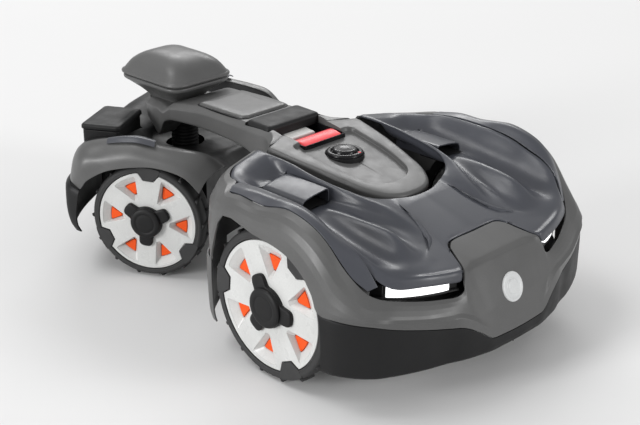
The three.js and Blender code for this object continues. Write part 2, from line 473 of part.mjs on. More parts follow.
// ---------------------------------------------------------------- cutting unit
function cutterCarriage() {
  return turned([[0, 66], [38, 66], [38, 92], [48, 96], [48, 104], [40, 106], [40, 146], [0, 146]], 0, CUT_Y);
}
const BLADE_PIN_R = 80;
function cuttingDisc() {
  const disc = turned([[8.5, 56], [CUT_R, 56], [CUT_R, 59], [36, 62], [8.5, 62], [8.5, 56]], 0, CUT_Y, 30);
  const shaft = turned([[0, 46], [8, 46], [8, 56.5], [12, 57], [12, 65.4], [0, 65.4]], 0, CUT_Y, 16);
  const pins = ring(3, (a) => turned([[0, 51], [5, 51], [5, 53], [3, 53], [3, 57], [0, 57]],
    BLADE_PIN_R * Math.cos(a), CUT_Y + BLADE_PIN_R * Math.sin(a), 12));
  return union([disc, shaft, ...pins]);
}
function blade(a) {
  const flat = prism([[-9, -9], [26, -9], [26, 9], [-9, 9]], 54, 55.4);
  const m = turn(THREE.MathUtils.radToDeg(a)).setPosition(BLADE_PIN_R * Math.cos(a), CUT_Y + BLADE_PIN_R * Math.sin(a), 0);
  return placed(minus(flat, discZ(3.4, 0, 0, 50, 60, 12)), m);
}
const skidPlate = () => turned([[8.6, 48.5], [70, 50.5], [70, 52], [8.6, 52], [8.6, 48.5]], 0, CUT_Y, 28);

// ---------------------------------------------------------------- rear body, drawn unturned about its pivot
const REAR_COVER = [ // rows from the rear to the front: centre, shoulder, valley, crest, flank, skirt edge
  [[0, 162, 150], [70, 160, 150], [130, 153, 152], [172, 142, 158], [196, 128, 158], [204.5, 110, 150]],
  [[0, 151, 182], [70, 148, 184], [130, 141, 188], [176, 129, 200], [202, 116, 184], [207, 104, 157]],
  [[0, 138, 206], [70, 135, 210], [130, 126, 212], [176, 108, 216], [204, 98, 196], [209, 96, 166]],
  [[0, 100, 216], [70, 98, 222], [130, 92, 222], [180, 76, 230], [206, 68, 210], [210, 62, 188]],
  [[0, 62, 200], [70, 60, 212], [130, 54, 220], [184, 44, 237], [207, 40, 216], [210, 40, 195]],
  [[0, 58, 178], [66, 30, 188], [130, 20, 216], [186, 14, 240], [207, 10, 220], [210, 10, 201]],
  [[0, -58, 178], [66, -20, 186], [130, -22, 212], [186, -22, 234], [207, -22, 218], [210, -22, 204]],
  [[0, -90, 178], [60, -66, 183], [126, -66, 206], [182, -62, 229], [206, -56, 214], [210, -54, 200]],
  [[0, -112, 180], [56, -102, 186], [120, -104, 196], [174, -100, 222], [203, -82, 206], [209, -80, 190]],
  [[0, -124, 160], [52, -118, 168], [112, -122, 178], [164, -128, 200], [196, -112, 186], [206, -102, 166]],
];

function rearCover() {
  const half = REAR_COVER.map((row) => [...row].reverse());
  const rows = half.map((row) => {
    const right = row.map(([x, y, z]) => V(x, y, z));
    return smooth([...right, ...right.slice(0, -1).reverse().map((p) => V(-p.x, p.y, p.z))], 1);
  });
  const shell = skinOf(refineRows(rows.reverse(), 2), SKIN);
  return minus(shell, discZ(34, 0, 0, 150, 230), box(-136.5, -37.5, 63.5, 133.5, 150, 260));
}

function rearChassis() {
  const tub = prism([[-134, -88], [134, -88], [134, 96], [100, 118], [-100, 118], [-134, 96]], 62, 168);
  const yokePocket = box(-41, 41, -71, 71, 96, 175);
  const motors = [1, -1].map((s) => discX(36.5, REAR.y, REAR.z, s > 0 ? 100 : -140, s > 0 ? 140 : -100));
  const pinHoles = [1, -1].map((s) => discY(8.4, 0, ROLL_Z, s > 0 ? 70 : -82, s > 0 ? 82 : -70));
  return minus(tub, yokePocket, ...motors, ...pinHoles);
}

function steeringYoke() {
  const block = box(-26, 26, -64, 64, 104, 136);
  const pins = discY(8, 0, ROLL_Z, -80, 80);
  const post = turned([[0, 130], [24, 130], [24, 196.5], [24, 225], [0, 225]], 0, 0);
  return union([block, pins, post]);
}

function rearBumper() {
  const rows = [[200, 127, 153], [188, 135, 156], [160, 147, 153.5], [110, 157, 149], [56, 161, 148], [0, 163, 147.5]];
  const half = [[[206, 109, 147.5], [208.5, 112, 131], [207.5, 117, 108], [203.5, 111, 74]],
    ...rows.map(([x, y, top]) => [[x, y, top], [x + 1.5, y + 5, 131], [x + 1, y + 5, 108], [x - 1, y - 6, 74]])];
  const net = wholeNet(half, 1, 1);
  return skinOf(net.map((row) => [...row].reverse()), SKIN);
}

const rearTrim = () => skinOf(refineRows([[[172, 66, 235], [182, 64, 237], [192, 62, 232]],
  [[174, 40, 241], [185, 38, 243.5], [196, 36, 238]], [[174, 10, 244], [186, 8, 246], [197, 6, 240.5]],
  [[174, -20, 239], [185, -22, 241.5], [196, -24, 236]]]
  .map((r) => smooth(r.map((p) => V(...p)), 2)), 1), 1.6);

function rearBox() {
  const body = loft([[65, 231], [132, 229]].map(([y, t]) => [[-135, y, 205], [-135, y, t], [-39, y, t], [-39, y, 205]]));
  return minus(body, box(-131, -43, 69, 128, 209, 260));
}
function rearBoxLid() {
  return loft([[62, 240], [72, 243], [124, 240], [134, 236]].map(([y, t]) => [
    [-138, y, 231.6], [-138, y, t - 3], [-132, y, t], [-42, y, t], [-36, y, t - 3], [-36, y, 231.6]]));
}

// ---------------------------------------------------------------- assembly
add('chassis', chassis(), DARK);
add('surround', surround(), GREY);
add('top_cover', topCover(), BLUEGREY);
addPair('side_trim', sideTrim(), BLUEGREY);
add('bumper', bumper(), DARK);
addPair('rear_guard', rearGuard(), GREY);
add('console', console_(), GREY);
add('link_arm', linkArm(), GREY);
add('antenna_base', antennaBase(), GREY);
add('antenna_dome', antennaDome(), GREY);
addPair('headlamp', headlamp(), WHITE);
addPair('sensor_visor', sensorVisor(), BLUEGREY);
addPair('sensor', sensor(), BLACK);
add('battery', box(-72, 72, -172, -108, 118.5, 168), BLACK);
add('circuit_board', box(-66, 66, 16, 134, 196.4, 198).add(box(-30, 30, 20, 80, 197.5, 204)), GREEN);
add('display_hatch', displayHatch(), DARK);
add('control_knob', controlKnob(), BLACK);
add('stop_button', stopButton(), RED);
add('start_button', startButton(), WHITE);
add('cutter_carriage', cutterCarriage(), DARK);
add('cutting_disc', cuttingDisc(), STEEL);
add('skid_plate', skidPlate(), DARK);
ring(3, (a, i) => add(`blade_${i + 1}`, blade(a), STEEL));

for (const [prefix, wheel, notchStart, inner, pose] of [
  ['front', FRONT, 35, 151, new THREE.Matrix4()],
  ['rear', REAR, 4, 101, REAR_POSE],
]) {
  const parts = wheelParts(wheel, notchStart);
  const motor = hubMotor(wheel, inner);
  for (const [side, flip] of [['left', (s) => s], ['right', mirrored]]) {
    const put = (name, solid, look) => add(`${prefix}_${name}_${side}`, placed(flip(solid), pose), look);
    put('tyre', parts.tyre, RUBBER);
    put('rim', parts.rim, SILVER);
    put('insert', parts.insert, ORANGE);
    put('hub_cap', parts.cap, DARK);
    put('motor', motor, BLACK);
  }
}

const rear = (name, solid, look) => add(name, placed(solid, REAR_POSE), look);
rear('rear_chassis', rearChassis(), DARK);
rear('rear_cover', rearCover(), GREY);
rear('rear_bumper', rearBumper(), DARK);
rear('rear_trim_left', rearTrim(), BLUEGREY);
rear('rear_trim_right', mirrored(rearTrim()), BLUEGREY);
rear('rear_box', rearBox(), DARK);
rear('rear_box_lid', rearBoxLid(), BLACK);
rear('steering_yoke', steeringYoke(), STEEL);

export default group;
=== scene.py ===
"""Visible surfaces of an articulated robotic lawn mower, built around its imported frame.

Shapes are drawn in millimetres in the front body's own frame: the origin is on the ground under the
front axle, +Z is up and the mower faces -Y. The rear body is drawn unturned about its steering pivot.
"""

import json
import math

import bmesh
import bpy
from mathutils import Matrix, Vector


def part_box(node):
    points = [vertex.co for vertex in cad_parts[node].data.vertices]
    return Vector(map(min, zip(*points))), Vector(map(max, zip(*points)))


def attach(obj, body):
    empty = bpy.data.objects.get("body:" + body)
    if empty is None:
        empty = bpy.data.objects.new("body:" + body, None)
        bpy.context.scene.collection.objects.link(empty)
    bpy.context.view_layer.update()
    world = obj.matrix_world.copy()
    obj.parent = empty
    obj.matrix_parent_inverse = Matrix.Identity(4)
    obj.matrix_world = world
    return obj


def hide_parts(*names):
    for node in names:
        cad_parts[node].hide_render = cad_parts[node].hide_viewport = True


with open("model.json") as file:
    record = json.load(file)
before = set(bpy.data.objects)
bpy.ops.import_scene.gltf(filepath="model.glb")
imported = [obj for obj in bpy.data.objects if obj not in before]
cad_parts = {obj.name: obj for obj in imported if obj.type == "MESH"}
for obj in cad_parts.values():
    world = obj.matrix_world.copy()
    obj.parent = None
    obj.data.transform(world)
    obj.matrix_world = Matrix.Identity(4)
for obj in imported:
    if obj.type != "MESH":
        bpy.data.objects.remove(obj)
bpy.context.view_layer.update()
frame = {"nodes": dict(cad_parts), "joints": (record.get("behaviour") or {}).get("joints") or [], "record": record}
NODES = frame["nodes"]
JOINTS = {joint["name"]: joint for joint in frame["joints"]}

# ------------------------------------------------------------------ places taken from the frame
MM = 0.001


def middle(node):
    low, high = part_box(node)
    return (low + high) / 2


AXLE_Y = middle("front_rim_right").y
PIVOT = Vector(JOINTS["steering"]["pos_m"]) * Vector((1, 1, 0))
ROLL_AXIS = Vector(JOINTS["rear_roll"]["axis"])
REST_STEER = math.atan2(-ROLL_AXIS.x, ROLL_AXIS.y)

FRONT = Matrix.Translation((0, AXLE_Y, 0)) @ Matrix.Scale(MM, 4)
REAR = Matrix.Translation(PIVOT) @ Matrix.Rotation(REST_STEER, 4, "Z") @ Matrix.Scale(MM, 4)

SIDES = {"left": Matrix.Identity(4), "right": Matrix.Diagonal((-1, 1, 1,
                                                               1))}  # drawn on the left, +X, and mirrored

# ------------------------------------------------------------------ materials
LOOKS = {  # colour, roughness, grain height in mm, gloss coat
    "shell_grey": ((0.086, 0.086, 0.0855), 0.38, 0.014, 0.0),
    "cover_blue_grey": ((0.052, 0.055, 0.066), 0.35, 0.002, 0.03),
    "dark_grey": ((0.010, 0.010, 0.0104), 0.48, 0.030, 0.0),
    "black_gloss": ((0.006, 0.006, 0.007), 0.26, 0.004, 0.1),
    "rim_silver": ((0.58, 0.585, 0.575), 0.30, 0.005, 0.2),
    "insert_orange": ((0.80, 0.085, 0.008), 0.50, 0.02, 0.0),
    "stop_red": ((0.80, 0.022, 0.035), 0.38, 0.012, 0.2),
    "key_white": ((0.78, 0.78, 0.76), 0.40, 0.010, 0.1),
    "tyre": ((0.030, 0.030, 0.0305), 0.72, 0.060, 0.0),
    "motor_metal": ((0.03, 0.03, 0.032), 0.42, 0.02, 0.0),
    "board_green": ((0.02, 0.14, 0.05), 0.40, 0.01, 0.1),
    "badge_light": ((0.62, 0.63, 0.63), 0.34, 0.006, 0.2),
}
CLOUD_MM, SPECK_MM, PATCH_MM, GRAIN_MM = 60, 2.2, 18, 0.9  # feature sizes: tone (two), gloss and grain
ROUGH_SPREAD = 0.045


def shader(name):
    """An empty material with its Principled shader wired to the output."""
    material = bpy.data.materials.new(name)
    material.use_nodes = True
    nodes, links = material.node_tree.nodes, material.node_tree.links
    nodes.clear()
    bsdf = nodes.new("ShaderNodeBsdfPrincipled")
    out = nodes.new("ShaderNodeOutputMaterial")
    links.new(bsdf.outputs["BSDF"], out.inputs["Surface"])
    return material, nodes, links, bsdf


def noise(nodes, links, place, size_mm, detail=3.0):
    """Value noise whose features are about size_mm across, in the object's own space."""
    texture = nodes.new("ShaderNodeTexNoise")
    texture.inputs["Scale"].default_value = 1 / (size_mm * MM)
    texture.inputs["Detail"].default_value = detail
    links.new(place.outputs["Object"], texture.inputs["Vector"])
    return texture.outputs["Fac"]


def remap(nodes, links, value, low, high, start=0.3, stop=0.7):
    """The value's start to stop range stretched over low to high."""
    node = nodes.new("ShaderNodeMapRange")
    node.inputs["From Min"].default_value = start
    node.inputs["From Max"].default_value = stop
    node.inputs["To Min"].default_value = low
    node.inputs["To Max"].default_value = high
    links.new(value, node.inputs["Value"])
    return node.outputs["Result"]


def ramp(nodes, links, value, dark, light):
    """Colour that runs from dark to light with the value."""
    node = nodes.new("ShaderNodeValToRGB")
    for element, colour in zip(node.color_ramp.elements, (dark, light)):
        element.color = (*colour, 1)
    links.new(value, node.inputs["Fac"])
    return node.outputs["Color"]


def mixed(nodes, links, kind, second, fac=None):
    """A colour mix node whose second colour and factor may be sockets."""
    node = nodes.new("ShaderNodeMixRGB")
    node.blend_type = kind
    node.inputs["Fac"].default_value = 1.0
    if fac:
        links.new(fac, node.inputs["Fac"])
        node.inputs["Color2"].default_value = (*second, 1)
    else:
        links.new(second, node.inputs["Color2"])
    return node


def moulded(slot_name):
    """Moulded plastic, paint or rubber: fine grain, faint cloudiness, uneven gloss, and sharp edges lightened as a
    painted edge highlight.
    """
    colour, rough, grain_height, coat = LOOKS[slot_name]
    material, nodes, links, bsdf = shader(slot_name)
    place = nodes.new("ShaderNodeTexCoord")
    shade = nodes.new("ShaderNodeMath")
    shade.operation = "MULTIPLY"
    links.new(remap(nodes, links, noise(nodes, links, place, CLOUD_MM, 4), 0.94, 1.05), shade.inputs[0])
    links.new(remap(nodes, links, noise(nodes, links, place, SPECK_MM, 2), 0.965, 1.03), shade.inputs[1])
    tone = mixed(nodes, links, "MULTIPLY", shade.outputs[0])
    tone.inputs["Color1"].default_value = (*colour, 1)
    # painted highlight: sharp convex edges (high pointiness) are mixed towards a lighter tone of the colour
    edges = nodes.new("ShaderNodeNewGeometry").outputs["Pointiness"]
    painted_edge_highlight = mixed(nodes, links, "MIX", [min(1.0, c * 1.5 + 0.02) for c in colour],
                   remap(nodes, links, edges, 0.0, 0.10, 0.53, 0.62))
    links.new(tone.outputs["Color"], painted_edge_highlight.inputs["Color1"])
    links.new(painted_edge_highlight.outputs["Color"], bsdf.inputs["Base Color"])
    patches = noise(nodes, links, place, PATCH_MM, 3)
    links.new(remap(nodes, links, patches, rough - ROUGH_SPREAD, rough + ROUGH_SPREAD),
              bsdf.inputs["Roughness"])
    bump = nodes.new("ShaderNodeBump")
    bump.inputs["Distance"].default_value = grain_height * MM
    bump.inputs["Strength"].default_value = 1.0
    links.new(noise(nodes, links, place, GRAIN_MM, 2), bump.inputs["Height"])
    links.new(bump.outputs["Normal"], bsdf.inputs["Normal"])
    subdued = max(colour) < 0.02 or colour[0] > 2 * colour[1]  # near black, orange or red
    bsdf.inputs["Specular IOR Level"].default_value = 0.22 if subdued else 0.45
    bsdf.inputs["Coat Weight"].default_value = coat
    bsdf.inputs["Coat Roughness"].default_value = 0.22
    return material


def brushed_steel():
    """Steel with fine lines drawn out across one axis."""
    material, nodes, links, bsdf = shader("steel")
    place = nodes.new("ShaderNodeTexCoord")
    stretch = nodes.new("ShaderNodeMapping")
    stretch.inputs["Scale"].default_value = (1, 14, 1)
    links.new(place.outputs["Object"], stretch.inputs["Vector"])
    lines = nodes.new("ShaderNodeTexNoise")
    lines.inputs["Scale"].default_value = 260
    lines.inputs["Detail"].default_value = 5
    links.new(stretch.outputs["Vector"], lines.inputs["Vector"])
    links.new(ramp(nodes, links, lines.outputs["Fac"], (0.40, 0.41, 0.42), (0.62, 0.63, 0.65)),
              bsdf.inputs["Base Color"])
    links.new(remap(nodes, links, lines.outputs["Fac"], 0.28, 0.46), bsdf.inputs["Roughness"])
    bsdf.inputs["Metallic"].default_value = 1.0
    return material


def lamp_glow():
    """The light strip: a bright diffuser with faint light cells behind it."""
    material, nodes, links, bsdf = shader("lamp_white")
    cells = ramp(nodes, links, noise(nodes, links, nodes.new("ShaderNodeTexCoord"), 7, 0), (0.86, 0.87, 0.88),
                 (1, 1, 1))
    links.new(cells, bsdf.inputs["Base Color"])
    links.new(cells, bsdf.inputs["Emission Color"])
    bsdf.inputs["Emission Strength"].default_value = 1.6
    bsdf.inputs["Roughness"].default_value = 0.3
    return material


MATERIALS = {name: moulded(name) for name in LOOKS}
MATERIALS["steel"] = brushed_steel()
MATERIALS["lamp_white"] = lamp_glow()
NODE_SLOT = {part["node"]: part["material_slot"] for part in frame["record"]["subparts"]}

for name, node in NODES.items():
    node.data.materials.clear()
    node.data.materials.append(MATERIALS[NODE_SLOT[name]])


# ------------------------------------------------------------------ mesh helpers
def add_object(name, data):
    made = bpy.data.objects.new(name, data)
    bpy.context.scene.collection.objects.link(made)
    return made


def object_of(bm, name):
    """The bmesh as an object."""
    mesh = bpy.data.meshes.new(name)
    bm.to_mesh(mesh)
    bm.free()
    return add_object(name, mesh)


def baked(carrier, *helpers):
    """The carrier's shape after its modifiers, as a bmesh; the carrier and its helpers go."""
    bpy.context.view_layer.update()
    mesh = bpy.data.meshes.new_from_object(carrier.evaluated_get(bpy.context.evaluated_depsgraph_get()))
    for used in (carrier, *helpers):
        bpy.data.objects.remove(used)
    bm = bmesh.new()
    bm.from_mesh(mesh)
    bpy.data.meshes.remove(mesh)
    return bm


def add_skin(piece, skin):
    """Wall thickness in mm, grown inwards."""
    solid = piece.modifiers.new("skin", "SOLIDIFY")
    solid.thickness = skin * MM
    solid.offset = -1
    solid.use_even_offset = False


def finish_piece(bm, name, look, body, replaced=(), bevel=0.0, skin=0.0, sharp=35.0):
    """Makes the object: optional wall and rounded edges in mm, smooth shading, body and material slot."""
    piece = object_of(bm, name)
    mesh = piece.data
    mesh.materials.append(MATERIALS[look])
    mesh.polygons.foreach_set("use_smooth", [True] * len(mesh.polygons))
    if skin:
        add_skin(piece, skin)
    if bevel:
        edge = piece.modifiers.new("edges", "BEVEL")
        edge.width = bevel * MM
        edge.segments = 2
        edge.limit_method = "ANGLE"
        edge.angle_limit = math.radians(sharp)
        edge.use_clamp_overlap = True
    weighted = piece.modifiers.new("shading", "WEIGHTED_NORMAL")
    weighted.keep_sharp = True
    weighted.weight = 60
    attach(piece, body)
    if replaced:
        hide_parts(*replaced)


def smooth(row, n):
    """A smooth curve through the row's points, n steps a span, that stays tight where points crowd."""
    ends = [row[0] * 2 - row[1], *row, row[-1] * 2 - row[-2]]
    out = []
    for p, q, r, s in zip(ends, ends[1:], ends[2:], ends[3:]):
        a, b, c = (max((v - u).length, 1e-6) ** 0.5 for u, v in ((p, q), (q, r), (r, s)))
        leave = ((q - p) / a - (r - p) / (a + b) + (r - q) / b) * b
        arrive = ((r - q) / b - (s - q) / (b + c) + (s - r) / c) * b
        for k in range(n):
            t = k / n
            out.append(q * (1 - 3 * t * t + 2 * t ** 3) + r * (3 * t * t - 2 * t ** 3)
                       + leave * (t - 2 * t * t + t ** 3) + arrive * (t ** 3 - t * t))
    out.append(row[-1].copy())
    return out


def vectors(rows):
    """The rows' points as vectors."""
    return [[Vector(p) for p in row] for row in rows]


def smooth_down(rows, n):
    """More rows, on smooth curves down the columns."""
    return [list(row) for row in zip(*(smooth(column, n) for column in zip(*rows)))]


def refine(rows, along, across):
    """A finer net: smooth curves along each row, then down each column."""
    return smooth_down([smooth(row, across) for row in rows], along)


def mirror_rows(half):
    """Half a net on the +X side that ends on the middle plane, made whole."""
    other = [[Vector((-p.x, p.y, p.z)) for p in row] for row in reversed(half[:-1])]
    return half + other


def flip_x(rows):
    """The net on the other side, its faces still outwards."""
    return [[Vector((-p.x, p.y, p.z)) for p in reversed(row)] for row in rows]


def grid(rows, matrix):
    """An open sheet of quads through the net."""
    bm = bmesh.new()
    verts = [[bm.verts.new(matrix @ p) for p in row] for row in rows]
    for i in range(len(rows) - 1):
        for j in range(len(rows[0]) - 1):
            bm.faces.new((verts[i][j], verts[i + 1][j], verts[i + 1][j + 1], verts[i][j + 1]))
    bmesh.ops.remove_doubles(bm, verts=bm.verts, dist=1e-6)
    return bm


def both_sides(net, matrix, name, look, body, node, **finish):
    """The sheet on the left and its mirror image on the right, for the CAD nodes node_left and node_right."""
    for side, rows in (("left", net), ("right", flip_x(net))):
        finish_piece(grid(rows, matrix), f"{name}_{side}", look, body, [f"{node}_{side}"], **finish)


def loft(sections, matrix, caps=True):
    """Closed sections one after another."""
    bm = bmesh.new()
    rings = [[bm.verts.new(matrix @ Vector(p)) for p in section] for section in sections]
    count = len(rings[0])
    for a, b in zip(rings, rings[1:]):
        for j in range(count):
            k = (j + 1) % count
            bm.faces.new((a[j], a[k], b[k], b[j]))
    if caps:
        bm.faces.new(list(reversed(rings[0])))
        bm.faces.new(rings[-1])
    bmesh.ops.recalc_face_normals(bm, faces=bm.faces)
    return bm


def round_outline(points, radii, steps=6):
    """A plan outline whose corners are rounded by the given radii."""
    out = []
    count = len(points)
    for i, point in enumerate(points):
        here = Vector(point)
        before, after = Vector(points[i - 1]) - here, Vector(points[(i + 1) % count]) - here
        radius = radii[i] if isinstance(radii, (list, tuple)) else radii
        if radius <= 0:
            out.append(here)
            continue
        half = before.angle(after) / 2
        reach = min(radius / math.tan(half), 0.48 * before.length, 0.48 * after.length)
        start, end = here + before.normalized() * reach, here + after.normalized() * reach
        for k in range(steps + 1):
            t = k / steps
            out.append(start * (1 - t) ** 2 + here * (2 * t * (1 - t)) + end * t ** 2)
    return out


def inset(outline, distance):
    """The outline moved inwards (it runs anticlockwise)."""
    out = []
    count = len(outline)
    for i, p in enumerate(outline):
        a, b = outline[i - 1], outline[(i + 1) % count]
        direction = (b - a).normalized()
        out.append(p + Vector((-direction.y, direction.x)) * distance)
    return out


def level(_x, _y):
    return 0.0


def rings_of(outline, layers, lift=level):
    """The outline at each (inset, height) pair; lift(x, y) is added to every height."""
    return [[(p.x, p.y, height + lift(p.x, p.y)) for p in (inset(outline, distance) if distance else outline)]
            for distance, height in layers]


def turned(profile, matrix, segments=64):
    """(radius, distance) pairs turned about the local Z axis; radius 0 closes on the axis."""
    bm = bmesh.new()
    rings = []
    for radius, height in profile:
        if radius <= 1e-6:
            rings.append([bm.verts.new(matrix @ Vector((0, 0, height)))])
            continue
        rings.append([bm.verts.new(matrix @ Vector((radius * math.cos(a), radius * math.sin(a), height)))
                      for a in (2 * math.pi * k / segments for k in range(segments))])
    for a, b in zip(rings, rings[1:]):
        for k in range(segments):
            m = (k + 1) % segments
            unique = list(dict.fromkeys((a[k % len(a)], a[m % len(a)], b[m % len(b)], b[k % len(b)])))
            if len(unique) > 2:
                bm.faces.new(unique)
    bmesh.ops.remove_doubles(bm, verts=bm.verts, dist=1e-6)
    bmesh.ops.recalc_face_normals(bm, faces=bm.faces)
    return bm


def plate(outlines, depth, bevel, matrix):
    """A flat plate from z 0 to depth: the first outline is its rim, the others are holes."""
    curve = bpy.data.curves.new("plate", "CURVE")
    curve.dimensions = "2D"
    curve.fill_mode = "BOTH"
    curve.extrude = (depth / 2 - bevel) * MM
    curve.bevel_depth = bevel * MM
    curve.bevel_resolution = 1
    curve.offset = -bevel * MM
    for outline in outlines:
        spline = curve.splines.new("POLY")
        spline.points.add(len(outline) - 1)
        for point, p in zip(spline.points, outline):
            point.co = (p[0] * MM, p[1] * MM, 0, 1)
        spline.use_cyclic_u = True
    bm = baked(add_object("plate", curve))
    bmesh.ops.remove_doubles(bm, verts=bm.verts, dist=2e-6)
    bmesh.ops.transform(bm, matrix=Matrix.Scale(1 / MM, 4) @ Matrix.Translation((0, 0, depth / 2 * MM)),
                        verts=bm.verts)
    bmesh.ops.transform(bm, matrix=matrix, verts=bm.verts)
    bmesh.ops.recalc_face_normals(bm, faces=bm.faces)
    return bm


def join(*parts):
    """Several bmeshes in one."""
    whole = parts[0]
    for part in parts[1:]:
        mesh = bpy.data.meshes.new("part")
        part.to_mesh(mesh)
        part.free()
        whole.from_mesh(mesh)
        bpy.data.meshes.remove(mesh)
    return whole


def cut(bm, *cutters):
    """The closed mesh with the closed cutters taken away."""
    target = object_of(bm, "cut")
    tools = [object_of(cutter, "cut") for cutter in cutters]
    for tool in tools:
        step = target.modifiers.new("cut", "BOOLEAN")
        step.operation = "DIFFERENCE"
        step.solver = "EXACT"
        step.object = tool
    return baked(target, *tools)


def thick(bm, skin):
    """The open sheet as a closed skin; its own faces stay the outer side."""
    carrier = object_of(bm, "thick")
    add_skin(carrier, skin)
    return baked(carrier)


def column(outline, z0, z1, matrix):
    """An upright prism over a plan outline."""
    return loft([[(p[0], p[1], z) for p in outline] for z in (z0, z1)], matrix)


def block(x0, x1, y0, y1, z0, z1, matrix):
    return column([(x0, y0), (x1, y0), (x1, y1), (x0, y1)], z0, z1, matrix)


# ------------------------------------------------------------------ front body: nets of the shells
WALL, THICK_WALL = 2.6, 2.8  # of the moulded shells
VISOR_X = 148.5  # middle of the left sensor visor


def hood(x, y):
    """The hood ahead of the console is one sloping face with a slight crown."""
    return 252.2 + 0.303 * y + 0.032 * abs(x) + 3 * max(0, 1 - (x / 70) ** 2)


COVER_SIDE = [
    # opening edge, rim, foot, trough, ridge foot, ridge, slope, valley, rise, crest, outer edge
    [(112, 172, 272), (117, 171, 273), (124, 170, 272), (132, 168, 271), (140, 166, 270), (147, 165, 269),
     (153, 164, 268), (160, 163, 267), (166, 162, 266), (172, 160.5, 265), (178, 158.6, 262.4)],
    [(113, 145, 272), (118, 145, 273), (126, 144, 271), (135, 143, 269), (144, 142, 267), (154, 140, 265),
     (164, 139, 264), (174, 138, 264), (184, 137.5, 265), (194, 137.5, 265), (201, 136.5, 262.6)],
    [(113, 115, 271), (117, 115, 271), (122, 115, 254), (130, 116, 250), (138, 117, 249), (146, 118, 249),
     (158, 118, 249), (170, 117, 251), (184, 114, 258), (202, 112, 266), (211, 110.5, 265.4)],
    [(113, 90, 269), (117, 90, 269), (120, 90, 252), (126, 90, 250), (136, 90, 249), (148, 90, 249),
     (164, 90, 247), (178, 89, 246), (194, 88, 252), (210, 87, 268), (214, 86, 269)],
    [(113, 58, 264), (117, 57, 264), (119.5, 56, 249), (126, 56, 247), (136, 56, 246), (148, 56, 246),
     (165, 56, 243), (179, 54, 241), (197, 52, 250), (213, 50, 271), (217, 50, 271)],
    [(110, 20, 259), (114, 19, 260), (118.5, 18, 240), (127, 17, 237), (137, 16, 236.5), (148, 15, 237),
     (163, 14, 236), (178, 12, 236), (197, 9, 248), (212, 6, 270), (216.5, 6, 271)],
    [(104, -7, 255), (110, -9, 256), (117, -11, 240), (125, -13, 237), (135, -14, 237), (148, -14, 240.5),
     (160, -15, 236.5), (176, -18, 234), (196, -22, 243), (211, -24, 268), (216, -25, 270)],
    [(91, -29, 248), (104, -34, 251.5), (110, -38, 240), (117, -41, 235), (127, -43, 234), (147, -44, 242),
     (160, -46, 234), (176, -50, 229), (197, -55, 238), (213, -57, 262), (217.5, -58, 264)],
    [(74, -42, 243), (92, -62, 244), (101, -66, 234), (110, -69, 229), (122, -71, 228.5), (145, -73, 241.5),
     (159, -76, 229), (176, -82, 222.5), (198, -88, 230), (215, -89, 250), (219, -89, 253)],
    [(67, -45, 241.8), (83, -88, 235), (97, -93, 226), (107, -95, 224), (118, -96, 223), (142, -99, 240.5),
     (157, -103, 225), (174, -110, 217.5), (197, -116, 224), (215, -117, 242), (220, -118, 243)],
    [(61, -48, 240.8), (75, -112, 224), (90, -120, 218.5), (103, -124, 217), (115, -125, 217), (138, -125, 237),
     (155, -130, 220), (173, -137, 213), (195, -141, 219), (211, -142, 230), (217, -143, 228)],
    [(56, -49.5, 240), (70, -120, 219.3), (84, -136, 213.5), (100, -142, 211.5), (116, -145, 213),
     (137, -147, 226), (154, -152, 215), (171, -156, 210.5), (190, -158, 213), (205, -158, 216),
     (212, -157, 207)],
    [(52, -51, 239.5), (64, -124, 217.5), (75, -144, 210.5), (92, -153, 208), (110, -160, 207),
     (131, -166, 208), (150, -171, 208), (165, -174, 207.5), (180, -176, 206.5), (191, -179, 201),
     (196, -182, 189)],
]
COVER_FRONT = [  # opening edge (on the hood), crest, outer edge, how far the row bows out sideways
    [(48, -52.5), (149, -201, 198), (153, -204, 185), 22],
    [(44.5, -54), (110, -211, 193), (112, -214.5, 180), 9],
    [(41, -55.5), (90, -213.8, 191.2), (92.4, -217, 178.5), 4],
    [(38, -56.5), (86, -209.8, 190.9), (87.2, -212.6, 190), 2],
    [(34, -57.8), (80.2, -203, 193), (81, -205.5, 192.2), 0],
    [(29, -59.3), (70.2, -180.3, 199.7), (71, -182.5, 198.9), 0],
    [(24, -60.4), (64, -167, 203.5), (65, -169, 202.9), 0],
    [(19, -61.2), (56.2, -159, 206.8), (57, -161, 206), 0],
    [(13, -61.8), (44.4, -156.5, 207.8), (45, -158.5, 207.4), 0],
    [(6.5, -62), (22, -156.3, 208.2), (22.4, -158.3, 207.7), 0],
    [(0, -62), (0, -156.3, 207.9), (0, -158.3, 207.3), 0],
]
BOW_WAY = (-0.93, -0.37)  # the front rows bow out this way
FAN = [0.45, 0.6, 0.69, 0.76, 0.82, 0.87, 0.91, 0.95]  # a front row's points, as shares of the way to its crest
